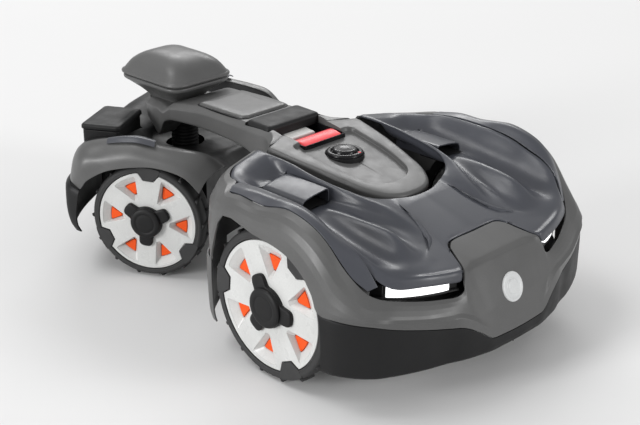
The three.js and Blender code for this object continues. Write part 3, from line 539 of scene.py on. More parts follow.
SURROUND = [  # top seam, roll, shoulder, flank, lower flank, flange, bottom edge
    [(114, 176, 270), (115, 181, 269), (116, 186, 264), (116, 189, 245), (116, 189, 210), (116, 188, 175),
     (116, 187, 152)],
    [(150, 168.5, 266), (153, 174, 264), (156, 179, 258), (159, 182, 240), (160, 182, 210), (160, 181, 175),
     (160, 180, 152)],
    [(179, 160, 263), (184, 165, 261), (190, 169, 254), (196, 172, 238), (198, 171, 210), (199, 169, 175),
     (199, 167, 152)],
    [(202, 137.5, 263), (211, 142, 261), (220, 147, 254), (230, 150, 238), (234, 149, 210), (236, 147, 175),
     (236, 145, 152)],
    [(213, 111, 266), (230, 113, 265), (244, 118, 256), (253, 124, 238), (257, 124, 210), (258, 123, 175),
     (258, 121, 152)],
    [(243, 92, 264), (252, 94, 261), (260, 98, 252), (265, 102, 238), (268, 104, 220), (269.5, 104, 203),
     (270, 101.5, 186)],
    [(247, 64, 268), (256, 64, 265), (262, 65, 260), (266, 68, 255), (268.5, 71, 250), (270, 74, 245),
     (270, 77, 240)],
    [(247, 20, 265), (256, 20, 262), (262, 19, 257), (266, 18, 251), (268.5, 18, 245), (270, 17, 238),
     (270, 16, 231)],
    [(247, -28, 275), (256, -28, 270), (262, -28, 263), (266, -28, 254), (268.5, -28, 245), (270, -28, 235),
     (270, -28, 226)],
    [(247, -62, 271), (256, -62, 265), (262, -62, 257), (266, -61, 248), (268.5, -60, 238), (270, -58, 228),
     (270, -57, 218)],
    [(247, -91, 261), (256, -93, 252), (262, -93, 243), (266, -92, 232), (269, -90, 221), (270, -87, 210),
     (270, -84, 200)],
    [(246, -113, 245), (255, -116, 235), (261, -118, 224), (266, -117, 211), (268.5, -114, 199),
     (269.5, -108, 188), (270, -102, 177)],
    [(242.5, -131, 223), (251, -136, 213), (258, -139, 201), (263, -139, 188), (267, -134, 176),
     (269.5, -124, 166), (270, -113, 154)],
    [(235.5, -147, 203), (244, -154, 193), (250, -160, 184), (256, -163, 174), (260, -162, 166),
     (264.5, -153, 160), (266, -142, 152)],
    [(224, -163, 184), (232, -170, 177), (238, -176, 171), (243, -180, 164), (247, -181, 160), (250, -176, 156),
     (252, -168, 149.5)],
    [(209, -176, 175), (214, -181, 170), (219, -186, 166), (223, -190, 161), (226, -193, 157),
     (231, -193, 153.5), (234, -188, 147)],
    [(192, -187, 171), (196, -191, 167), (199, -195, 162), (202, -199, 156), (204, -201, 152),
     (208, -204, 148.5), (211, -201.5, 140.5)],
    [(154, -205, 164), (157, -209, 160), (159, -213, 155), (161, -217, 149), (162, -219, 145), (164, -223, 141),
     (166, -220.5, 130.5)],
    [(124, -215, 160), (126, -219, 156), (127, -223, 151), (128, -226, 146), (129, -228, 141),
     (130.5, -232, 136), (131, -230.5, 123)],
    [(107, -220.5, 159), (108, -224, 155), (109, -227, 150), (109, -230, 144), (109, -232, 139),
     (108, -237, 133), (107.5, -240, 119)],
    [(93.5, -223, 163), (94, -226, 157), (94, -229, 150), (93, -232, 142), (90, -236, 131), (85, -242.5, 121),
     (82, -246.5, 105)],
    [(89, -220, 176.5), (89.5, -222.5, 169), (88.5, -226, 159), (85, -232, 142), (79, -238.5, 124),
     (71, -245.5, 110.5), (66.5, -250, 94)],
    [(83, -213.8, 189.3), (82, -215.3, 187), (79.5, -218, 180), (74, -228, 155), (67, -238.5, 127),
     (60, -247, 104), (57, -251.5, 89)],
    [(78.2, -206.3, 192), (75, -211, 189.8), (71.5, -215.5, 185), (64.5, -228, 156), (57, -239.5, 127),
     (49, -247.8, 103), (46.5, -252, 88)],
    [(68, -184, 198.7), (63.5, -206, 192), (60, -215.2, 186.5), (53.5, -228.5, 157.5), (46, -240.5, 127.5),
     (37, -248.3, 102.5), (35.5, -252.3, 87.6)],
    [(62, -171, 203), (52, -206, 193), (48, -215.3, 187.5), (42.5, -229, 158.5), (36, -241, 128),
     (28, -248.7, 102.3), (27, -252.6, 87.4)],
    [(53, -163.5, 205.8), (38, -206, 193.2), (35, -215.4, 188), (31, -229.3, 159.3), (26, -241.4, 128.3),
     (20, -249, 102), (20, -252.8, 87.2)],
    [(43, -161, 206.7), (19, -206, 193.4), (18, -215.5, 188.4), (16, -229.5, 160), (13, -241.6, 128.5),
     (10, -249.2, 102), (10, -253, 87)],
    [(0, -161, 206.4), (0, -206, 193.5), (0, -215.5, 188.5), (0, -229.6, 160), (0, -241.7, 128.6),
     (0, -249.3, 101.8), (0, -253, 87)],
]
TRIM = [  # inner seam, crest, outer seam
    [(214.5, 104, 267), (229, 101, 268), (240.8, 92.5, 265)],
    [(219, 64, 272), (233, 62, 274), (245.5, 62, 269.5)],
    [(219.7, 20, 273), (233, 19, 275), (245.5, 19.5, 267)],
    [(218.7, -25, 271.5), (232.5, -27, 279), (245.5, -28, 276.5)],
    [(220.2, -58, 266), (233.5, -61, 275), (245.5, -62, 272.5)],
    [(221.8, -90, 255), (234.5, -92, 264), (245.5, -91.5, 262)],
    [(222.6, -119, 245), (235, -116, 248.5), (244.5, -113, 246.5)],
    [(219.5, -145, 229), (232, -137, 228), (241, -131.5, 224.5)],
    [(214.8, -160, 207.5), (226, -153, 206), (234, -147, 204)],
    [(211, -168, 192), (217, -165, 190), (222, -162, 188)],
]


def cover_net():
    """Side rows, then the front rows, which cross the hood from the opening's edge to the crest in a bow."""
    rows = [list(row) for row in COVER_SIDE]
    for edge, crest, outer, bow in COVER_FRONT:
        inner = []
        for t in (0, *FAN):
            reach = bow * math.sin(math.pi * t)
            x = edge[0] + t * (crest[0] - edge[0]) + BOW_WAY[0] * reach
            y = edge[1] + t * (crest[1] - edge[1]) + BOW_WAY[1] * reach
            inner.append((x, y, hood(x, y)))
        rows.append([*inner, crest, outer])
    return refine(mirror_rows(vectors(rows)), 4, 4)


def top_cover():
    """The cover's skin, open under the two sensor visors."""
    shell = thick(grid(cover_net(), FRONT), WALL)
    seats = [block(x - 29.4, x + 29.4, 11.5, 103, 200, 300, FRONT) for x in (VISOR_X, -VISOR_X)]
    finish_piece(cut(shell, *seats), "cover_shell", "cover_blue_grey", "front_body", ["top_cover"])


def surround():
    """The grey shell round the cover: flat facets with narrow rounds between them."""
    rows = []
    for row in mirror_rows(vectors(SURROUND)):
        profile = [row[0]]
        for a, b in zip(row, row[1:]):
            profile += [a.lerp(b, 0.12), a.lerp(b, 0.5), a.lerp(b, 0.88), b]
        rows.append(profile)
    finish_piece(grid(smooth_down(rows, 3), FRONT), "surround_shell", "shell_grey", "front_body", ["surround"],
                 bevel=0.6, skin=THICK_WALL, sharp=38)


def side_trims():
    """Raised inlays along the fenders; their seams tuck a little under the shells beside them."""
    net = refine([[inner - Vector((1.7, 0, 0)), crest, outer + Vector((0.8, 0, 0))]
                  for inner, crest, outer in vectors(TRIM)], 5, 6)
    both_sides(net, FRONT, "trim", "cover_blue_grey", "front_body", "side_trim", bevel=0.6, skin=WALL, sharp=50)


BUMPER_START = 12  # the surround's row where the bumper begins
BUMPER_GAP = 1.5
BUMPER_FOOT = 64


def bumper():
    """Skirt under the surround: its top follows the seam and its foot is rolled inwards."""
    half = []
    for i, row in enumerate(SURROUND[BUMPER_START:]):
        x, y, z = row[-1]
        top, back = z - BUMPER_GAP, 6 if i == 0 else 0
        half.append([(x - 0.5, y, top), (x + 0.4, y - back / 2, top - 4),
                     (x, y - back, (top + BUMPER_FOOT) / 2), (x - 0.8, y - back + 1, BUMPER_FOOT + 7),
                     (x - 2.2, y - back + 3, BUMPER_FOOT + 2), (x - 6, y - back + 7, BUMPER_FOOT)])
    finish_piece(grid(refine(mirror_rows(vectors(half)), 3, 3), FRONT), "bumper_skirt", "dark_grey",
                 "front_body", ["bumper"], bevel=0.8, skin=THICK_WALL, sharp=50)


def rear_guards():
    """Curved mud guards behind the front wheels, hanging from the surround."""
    plan = [(250, 126), (247, 136), (240, 147), (229, 157), (214, 166), (196, 173), (176, 178)]
    rows = []
    for x, y in plan:
        reach = (250 - x) / 74
        foot = 46 + 26 * reach ** 2  # the guards are longest at their outer end
        rows.append([(x, y, 150.5), (x + 0.5, y + 0.5, 128), (x + 0.3, y, 96), (x - 0.5, y - 2, foot + 12),
                     (x - 2, y - 5, foot)])
    both_sides(refine(vectors(rows), 4, 4), FRONT, "wheel_guard", "shell_grey", "front_body", "rear_guard",
               bevel=0.8, skin=WALL, sharp=50)


def sensor_visors():
    """Hooded windows over the side sensors: flat roof, rounded back, chamfered outer wall, open front."""
    section = [(120.3, 236), (120.3, 250), (121, 255), (123, 257.8), (127, 258.6), (150, 256.2), (167, 253),
               (171.6, 251.2), (175.2, 247.6), (177, 243), (177.4, 236)]
    stations = [(104.5, -9, 9), (102.5, -4.5, 4.5), (99, -1.8, 1.6), (94, -0.5, 0.3), (80, 0, 0), (50, 0, 0),
                (18, 0, 0), (12.6, 0, 0)]
    for side, flip in SIDES.items():
        rows = []
        for y, drop, pinch in stations:  # from the back: place, how far the roof drops and the sides draw in
            rows.append([Vector((x + pinch * (148 - x) / 28, y, max(z + (drop if z > 245 else 0), 236)))
                         for x, z in section])
        bm = grid(refine(rows, 2, 1), FRONT @ flip)
        bmesh.ops.recalc_face_normals(bm, faces=bm.faces)
        roof = max(bm.faces, key=lambda f: f.calc_center_median().z)
        if roof.normal.z < 0:
            bmesh.ops.reverse_faces(bm, faces=bm.faces)
        finish_piece(bm, f"visor_{side}", "cover_blue_grey", "front_body", [f"sensor_visor_{side}"], bevel=0.5,
                     skin=2.0, sharp=40)
        lining = loft([[(123, y, 237), (174.5, y, 237), (174, y, 247), (170, y, 250.5), (125, y, 255.5)]
                       for y in (74, 50)], FRONT @ flip)
        finish_piece(lining, f"visor_lining_{side}", "black_gloss", "front_body", bevel=0.5)
        sill = loft([[(122.6, y, 233), (175, y, 233), (175, y, z), (122.6, y, z)]
                     for y, z in ((50, 239.5), (16, 238), (8, 235))], FRONT @ flip)
        finish_piece(sill, f"visor_sill_{side}", "dark_grey", "front_body", bevel=0.6)
        eye = Matrix.Translation((148, 0, 246)) @ Matrix.Rotation(math.pi / 2, 4, "X")
        lens = turned([(0, -51), (8, -51), (8.8, -50), (8.8, -45.5), (7.4, -44.6), (6.2, -45.6), (4, -44.4),
                       (0, -43.8)], FRONT @ flip @ eye, 40)
        finish_piece(lens, f"sensor_eye_{side}", "black_gloss", "front_body", [f"sensor_{side}"])


def between(table, at, column):
    """Linear reading of a column of a table whose first column rises."""
    if at <= table[0][0]:
        return table[0][column]
    for a, b in zip(table, table[1:]):
        if at <= b[0]:
            t = (at - a[0]) / (b[0] - a[0])
            return a[column] + t * (b[column] - a[column])
    return table[-1][column]


def cushion(outline, rim, crown, steps, core, matrix, lift=level):
    """A pillow: its side follows the outline by (inset, height) pairs and its top closes in on a core box."""
    sections = rings_of(outline, rim, lift)
    (x0, y0), (x1, y1) = core
    edge, edge_height = sections[-1], rim[-1][1]
    for k in range(1, steps + 1):
        r = 1 - k / (steps + 0.3)
        section = []
        for x, y, _z in edge:
            p = Vector((x, y))
            centre = Vector((min(max(x, x0), x1), min(max(y, y0), y1)))
            q = centre + (p - centre) * r
            section.append((q.x, q.y, edge_height + crown * (1 - r * r) + lift(q.x, q.y)))
        sections.append(section)
    return loft(sections, matrix)


def closed_smooth(points, n):
    """A closed smooth curve through the points."""
    out, count = [], len(points)
    for i in range(count):
        a, b, c, d = (points[(i + k) % count] for k in (-1, 0, 1, 2))
        for k in range(n):
            t = k / n
            out.append(a * ((-t + 2 * t * t - t ** 3) / 2) + b * ((2 - 5 * t * t + 3 * t ** 3) / 2)
                       + c * ((t + 4 * t * t - 3 * t ** 3) / 2) + d * ((-t * t + t ** 3) / 2))
    return out


# ------------------------------------------------------------------ lamps and badge
LAMP_LINE = [(110, -205.5), (118, -203.5), (130, -199), (141, -194), (150, -189.5), (161, -183), (170, -177),
             (179, -169), (186, -161)]
BAY_LINE = [(94, -211), (103, -208), *LAMP_LINE, (193, -152), (199, -142)]


def swept(points, section, matrix):
    """The section's (inward, height) pairs carried along a plan line."""
    sections = []
    for i, p in enumerate(points):
        a, b = points[max(i - 1, 0)], points[min(i + 1, len(points) - 1)]
        along = (b - a).normalized()
        inward = Vector((-along.y, along.x))
        sections.append([(*(p + inward * d), z) for d, z in section])
    return loft(sections, matrix)


def lamps():
    """Under the crest on each side: a dark bay, the light strip in it, and a plug at each end of the bay."""
    lamp_line, bay_line, *plug_lines = vectors([
        LAMP_LINE, BAY_LINE, [(94.5, -210.8), (103, -208), (107, -206.6)],
        [(189, -157.4), (193, -152), (198.6, -142.6)]])
    plug = [(0.8, 166.9), (0.8, 182.1), (9.2, 182.1), (9.2, 166.9)]
    strip = [(-2.9, 167.2), (-4.1, 168.0), (-4.5, 169.6), (-5, 174), (-4.5, 178.6), (-4, 180.2), (-2.8, 181),
             (8, 181), (8, 167.2)]
    frame_ring = [(3, 163.5), (-4.2, 163.7), (-4.6, 164.8), (-3.8, 166.3), (-1.6, 166.6), (9.5, 166.6),
                  (9.5, 182.4), (0, 182.4), (-1.4, 183.2), (-0.8, 185), (12, 186.5), (12.5, 163.5)]
    for side, flip in SIDES.items():
        place = FRONT @ flip
        finish_piece(swept(smooth(lamp_line, 2), strip, place), f"lamp_strip_{side}", "lamp_white",
                     "front_body", [f"headlamp_{side}"])
        finish_piece(swept(smooth(bay_line, 2), frame_ring, place), f"lamp_bay_{side}", "dark_grey",
                     "front_body")
        ends = [swept(line, plug, place) for line in plug_lines]
        finish_piece(join(*ends), f"lamp_plug_{side}", "dark_grey", "front_body", bevel=0.3)


def badge():
    place = FRONT @ Matrix.Translation((0, -235.5, 143.5)) @ Matrix.Rotation(math.radians(69), 4, "X")
    disc = turned([(0, -3), (20.6, -3), (21.8, -1), (22, 0.8), (20.8, 2.2), (18.2, 2.6), (17.2, 1.5), (12, 1.3),
                   (11, 2.4), (9.4, 2.9), (0, 3.1)], place, 64)
    finish_piece(disc, "round_badge", "badge_light", "front_body")


# ------------------------------------------------------------------ console with its controls
RIM_LINE = [(-52, 236.5), (-32, 240), (-7, 245), (24, 251), (56, 257), (89, 263), (124, 268), (162, 273.5),
            (190, 276.5)]
CONSOLE_EDGE = [(0, -50), (19, -48.6), (36, -42.5), (49, -32), (58, -19.5), (65, -7), (70.5, 8), (74, 24),
                (78.5, 40), (82, 56), (89, 89), (95, 124), (98.6, 150), (99.6, 162), (97, 168.5), (86, 173.5),
                (70, 180.6), (54, 187.7), (30, 188.5), (0, 188.5)]
PANEL_EDGE = [(0, -13), (12, -11.6), (23, -8.6), (32, -3.6), (38, 1.6), (42.5, 7), (46, 15), (48.6, 24),
              (51.6, 34), (54.6, 46), (59.4, 75), (62, 108), (64, 130), (64.6, 141), (62, 147), (57, 150),
              (50, 151), (40, 151), (20, 151), (0, 151)]
KNOB_FRAME = FRONT @ Matrix.Translation((0, 98, 0))


def whole_ring(half):
    right = [Vector(p) for p in half]
    left = [Vector((-p.x, p.y)) for p in reversed(right[1:-1])]
    return closed_smooth(right + left, 3)


def console():
    """The grey panel housing with its sunk middle, the dark tub under the buttons and the knob's socket."""
    edge, panel = whole_ring(CONSOLE_EDGE), whole_ring(PANEL_EDGE)

    def rim(y):
        return between(RIM_LINE, y, 1)

    def ring_at(out, height):
        return [(p.x, p.y, rim(p.y) + height) for p in out]

    between_rings = [a.lerp(b, 0.55) for a, b in zip(edge, panel)]
    sections = [[(p.x, p.y, 205.0) for p in edge], ring_at(edge, -14)]
    sections += [ring_at(inset(edge, d), drop) for d, drop in ((0.0, -6.5), (0.4, -3.6), (2.2, -1.2), (5.5, 0))]
    sections.append(ring_at(between_rings, 0.3))
    sections += [ring_at(inset(panel, d), drop)
                 for d, drop in ((-2.4, -0.2), (-0.8, -0.8), (-0.2, -1.8), (0.3, -5.6), (1.4, -6.6))]
    for step in range(1, 9):
        r = 1 - step / 8.2
        ring = []
        for p in panel:
            spine = Vector((0, min(max(p.y, 12), 122)))
            q = spine + (p - spine) * r * 0.97
            ring.append((q.x, q.y, rim(q.y) - 6.8 - (0.030 * max(0, min(q.y, 120) + 15)) * (1 - r ** 2)))
        sections.append(ring)
    body = loft(sections, FRONT)
    recess = column(round_outline([(-45.5, 139.5), (45.5, 139.5), (47, 200), (-47, 200)], 3), 247, 300, FRONT)
    well = turned([(0, 246.2), (31.2, 246.2), (31.2, 285), (0, 285)], KNOB_FRAME)
    finish_piece(cut(body, recess, well), "console_shell", "shell_grey", "front_body", ["console"], bevel=0.6,
                 sharp=40)

    tub_outside = round_outline([(-45, 140), (45, 140), (46.5, 190), (49, 221), (-49, 221), (-46.5, 190)], 3)
    tub_inside = round_outline([(-43.6, 141.4), (43.6, 141.4), (45, 190), (47.6, 219.6), (-47.6, 219.6),
                                (-45, 190)], 2)
    tub = cut(column(tub_outside, 247.3, 268, FRONT), column(tub_inside, 249, 280, FRONT))
    finish_piece(tub, "button_tub", "black_gloss", "front_body", bevel=0.4)

    socket = turned([(31, 247), (31, 256.5), (30.6, 257.2), (29.9, 256.8), (29.9, 247), (31, 247)],
                    KNOB_FRAME)
    finish_piece(socket, "knob_socket", "dark_grey", "front_body")


def knob():
    """The turning knob: cap, grips round it and a red mark."""
    cap = turned([(0, 247.4), (28.6, 247.4), (29.3, 248.4), (29.3, 258.4), (28.4, 260.6), (26.4, 261.8),
                  (23.4, 262.2), (21.6, 261.2), (20.9, 258.6), (20.2, 258.2), (19.6, 258.8), (19.2, 262.6),
                  (17.8, 264.6), (14.6, 265.3), (8, 264.4), (0, 264.0)], KNOB_FRAME, 96)
    finish_piece(cap, "knob_cap", "black_gloss", "control_knob", ["control_knob"])
    grips = []
    for k in range(30):
        turn = KNOB_FRAME @ Matrix.Rotation(2 * math.pi * k / 30, 4, "Z")
        grips.append(loft([[(28.2, -0.9, 249), (29.9, -0.7, 249), (29.9, 0.7, 249), (28.2, 0.9, 249)],
                           [(28.2, -0.9, 258), (29.7, -0.6, 257.6), (29.7, 0.6, 257.6), (28.2, 0.9, 258)],
                           [(26.6, -0.9, 261.2), (27.4, -0.5, 261.1), (27.4, 0.5, 261.1), (26.6, 0.9, 261.2)]],
                          turn))
    finish_piece(join(*grips), "knob_grips", "black_gloss", "control_knob", bevel=0.2)
    mark = loft([[(-1.3, 22.6, 261.4), (1.3, 22.6, 261.4), (1.3, 27.2, 261.2), (-1.3, 27.2, 261.2)],
                 [(-1.1, 22.8, 262.6), (1.1, 22.8, 262.6), (1.1, 27, 262.3), (-1.1, 27, 262.3)]],
                KNOB_FRAME @ Matrix.Rotation(math.radians(200), 4, "Z"))
    finish_piece(mark, "knob_mark", "stop_red", "control_knob", bevel=0.3)


def bar(profile, half, matrix):
    """A bar across the console: a side profile of (y, z) pairs, with its top rounded off at both ends."""
    ends = ((-half, 1.6), (-half + 1.4, 0.3), (-half + 6, 0), (half - 6, 0), (half - 1.4, 0.3), (half, 1.6))
    return loft([[(x, y, z - drop) for y, z in profile] for x, drop in ends], matrix)


def buttons():
    stop = bar([(141.2, 254.6), (171.2, 254.6), (171.6, 266.4), (170, 269), (164.6, 270.2), (156, 269.4),
                (147.4, 267.2), (142.4, 265), (141, 262.4)], 41.5, FRONT)
    finish_piece(stop, "stop_bar", "stop_red", "stop_button", ["stop_button"], bevel=0.7)
    key = bar([(190.6, 254.6), (215.6, 254.6), (215.8, 262.6), (213.4, 264.6), (207.8, 265), (200.6, 263.8),
               (194, 263.4), (191.6, 263.2), (190.4, 261.4)], 26.5, FRONT)
    finish_piece(key, "start_key", "key_white", "start_button", ["start_button"], bevel=0.6)


# ------------------------------------------------------------------ arm, hatch and antenna
ARM = [  # place along the arm, half width, underside, top
    (203, 69, 214, 279), (229, 67, 227, 280), (255, 65, 236, 280), (300, 62, 240, 279), (340, 61, 241, 279),
    (376, 62, 242, 278), (410, 66, 242, 275), (443, 70, 240, 270), (465, 66, 230, 257.5), (490, 58, 200, 257.5),
    (510, 54, 210, 257), (532, 48, 222, 256),
]


def arm_section(w, b, t):
    """Upright side, a flat chamfer and a level top."""
    return [(w - 8, b), (w - 2.4, b + 0.8), (w - 0.6, b + 2.6), (w, b + 6), (w + 0.6, t - 10.5),
            (w + 0.2, t - 8.6), (w - 1.0, t - 7.4), (w - 9, t - 1.4), (w - 11.5, t - 0.4), (w - 15, t),
            (w * 0.4, t)]


def arm():
    """The beam from the console back to the antenna, with the sunk beds for the buttons and the hatch."""
    rows = [[Vector((x, 189.3 - max(0, x - 54) * 0.4535, z + (0 if x > 80 else 1.5)))
             for x, z in arm_section(97, 205, 274.6)],
            [Vector((x, 193.5 - max(0, x - 54) * 0.14, z)) for x, z in arm_section(76, 208, 277)]]
    rows += [[Vector((x, y, z)) for x, z in arm_section(w, b, t)] for y, w, b, t in ARM]
    body = loft([right + [Vector((-p.x, p.y, p.z)) for p in reversed(right)] for right in smooth_down(rows, 4)],
                FRONT)
    recess = column([(-50, 178), (50, 178), (50, 222), (-50, 222)], 246.5, 300, FRONT)
    bed = column(round_outline([(-59.2, 207), (59.2, 207), (59.2, 265.8), (-59.2, 265.8)], [2, 2, 5, 5]), 266,
                 300, FRONT)
    bearing = turned([(0, 180), (24.4, 180), (24.4, 226), (0, 226)], FRONT @ Matrix.Translation((0, 490, 0)),
                     48)
    finish_piece(cut(body, recess, bed, bearing), "arm_beam", "shell_grey", "front_body", ["link_arm"],
                 bevel=0.7, sharp=40)

    def top(_x, y):
        return between(ARM, y, 3) - 279

    pad = round_outline([(-50, 276), (50, 276), (51, 330), (49, 392), (-49, 392), (-51, 330)],
                        [15, 15, 0, 10, 10, 0], 8)
    finish_piece(cushion(pad, [(0, 276.5), (0, 279.6), (0.5, 281.2), (1.6, 282.4), (3.6, 283.2), (6.5, 283.6)],
                         0.6, 3, ((-30, 300), (30, 370)), FRONT, top), "arm_pad", "shell_grey", "front_body")
    seat = round_outline([(-53, 273), (53, 273), (54, 330), (52, 395), (-52, 395), (-54, 330)],
                         [17, 17, 0, 12, 12, 0], 8)
    finish_piece(cushion(seat, [(0, 277), (0, 279.3), (0.6, 279.9), (2, 280.1)], 0, 1, ((-30, 300), (30, 370)),
                         FRONT, top), "arm_pad_frame", "dark_grey", "front_body")


def hatch():
    outline = round_outline([(-57.6, 208.6), (57.6, 208.6), (57.6, 264.6), (-57.6, 264.6)], [9, 9, 11, 11], 8)

    def lift(x, y):
        """A crown from side to side, and a front half that slopes down to the buttons."""
        return 0.035 * min(y - 236, 0) - 0.00054 * x * x

    lid = cushion(outline, [(1.5, 267.3), (0, 268.5), (0, 279.4), (0.6, 281.8), (2.2, 284), (5, 285.4)], 0.7, 4,
                  ((-38, 228), (38, 246)), FRONT, lift)
    finish_piece(lid, "hatch_lid", "dark_grey", "display_hatch", ["display_hatch"])


def pod_plan(hx, hy, r, z, centre=509.0):
    """A rounded rectangle of the antenna pod at height z."""
    corners = [(-hx, centre - hy), (hx, centre - hy), (hx, centre + hy), (-hx, centre + hy)]
    return [(p.x, p.y, z) for p in round_outline(corners, r, 8)]


def antenna():
    base = [pod_plan(*ring) for ring in (
        (35, 41, 20, 251, 508), (36, 42, 20, 258, 508), (42, 50, 22, 266), (46.4, 56.4, 23, 271),
        (52, 63.6, 25, 276), (57.4, 69.8, 27, 281), (61.4, 73.8, 28, 284.4), (64, 76.6, 29, 286.2),
        (65.8, 78.4, 30, 288), (66.2, 78.8, 30, 291), (65.8, 78.4, 30, 293.2), (63.6, 76.4, 29, 294.4))]
    finish_piece(loft(base, FRONT), "antenna_cup", "shell_grey", "front_body", ["antenna_base"])
    dome = [pod_plan(*ring) for ring in (
        (62, 75, 29, 293.6), (62.4, 75.4, 29, 295.6), (66.6, 79.8, 30, 296), (68, 81.2, 31, 297.2),
        (68.4, 81.6, 31, 299.4), (67.6, 80.8, 31, 301.4), (65.4, 78.6, 30, 302.4), (64.4, 77.6, 30, 303.4),
        (63.6, 76.6, 30, 305.4), (61, 73.8, 30, 310), (58, 70.6, 30, 315), (54, 66.2, 29, 320),
        (49, 60.6, 29, 324.6), (43, 54, 28, 328.6), (36, 45.8, 25, 332), (28, 36, 20, 334.6),
        (19, 25, 14, 336.2), (9, 12, 7, 336.9))]
    finish_piece(loft(dome, FRONT), "antenna_cap", "shell_grey", "front_body", ["antenna_dome"])


# ------------------------------------------------------------------ wheels
WHEELS = {  # face plane, axle place, rim radius, tread radius, lug height and count, width, first notch angle
    "front": dict(face=256, y=0, z=118, rim=100, tyre=114, lug=4, lugs=32, width=54, notch=35),
    "rear": dict(face=195.5, y=-3.5, z=101, rim=86, tyre=98, lug=3, lugs=28, width=48, notch=4),
}


def polar(r, degrees):
    """Angle 0 points up and grows towards -Y, as seen on the wheel's own face."""
    a = math.radians(degrees)
    return Vector((-r * math.sin(a), r * math.cos(a)))


def arc(r, start, stop, steps):
    return [polar(r, start + (stop - start) * k / steps) for k in range(steps + 1)]


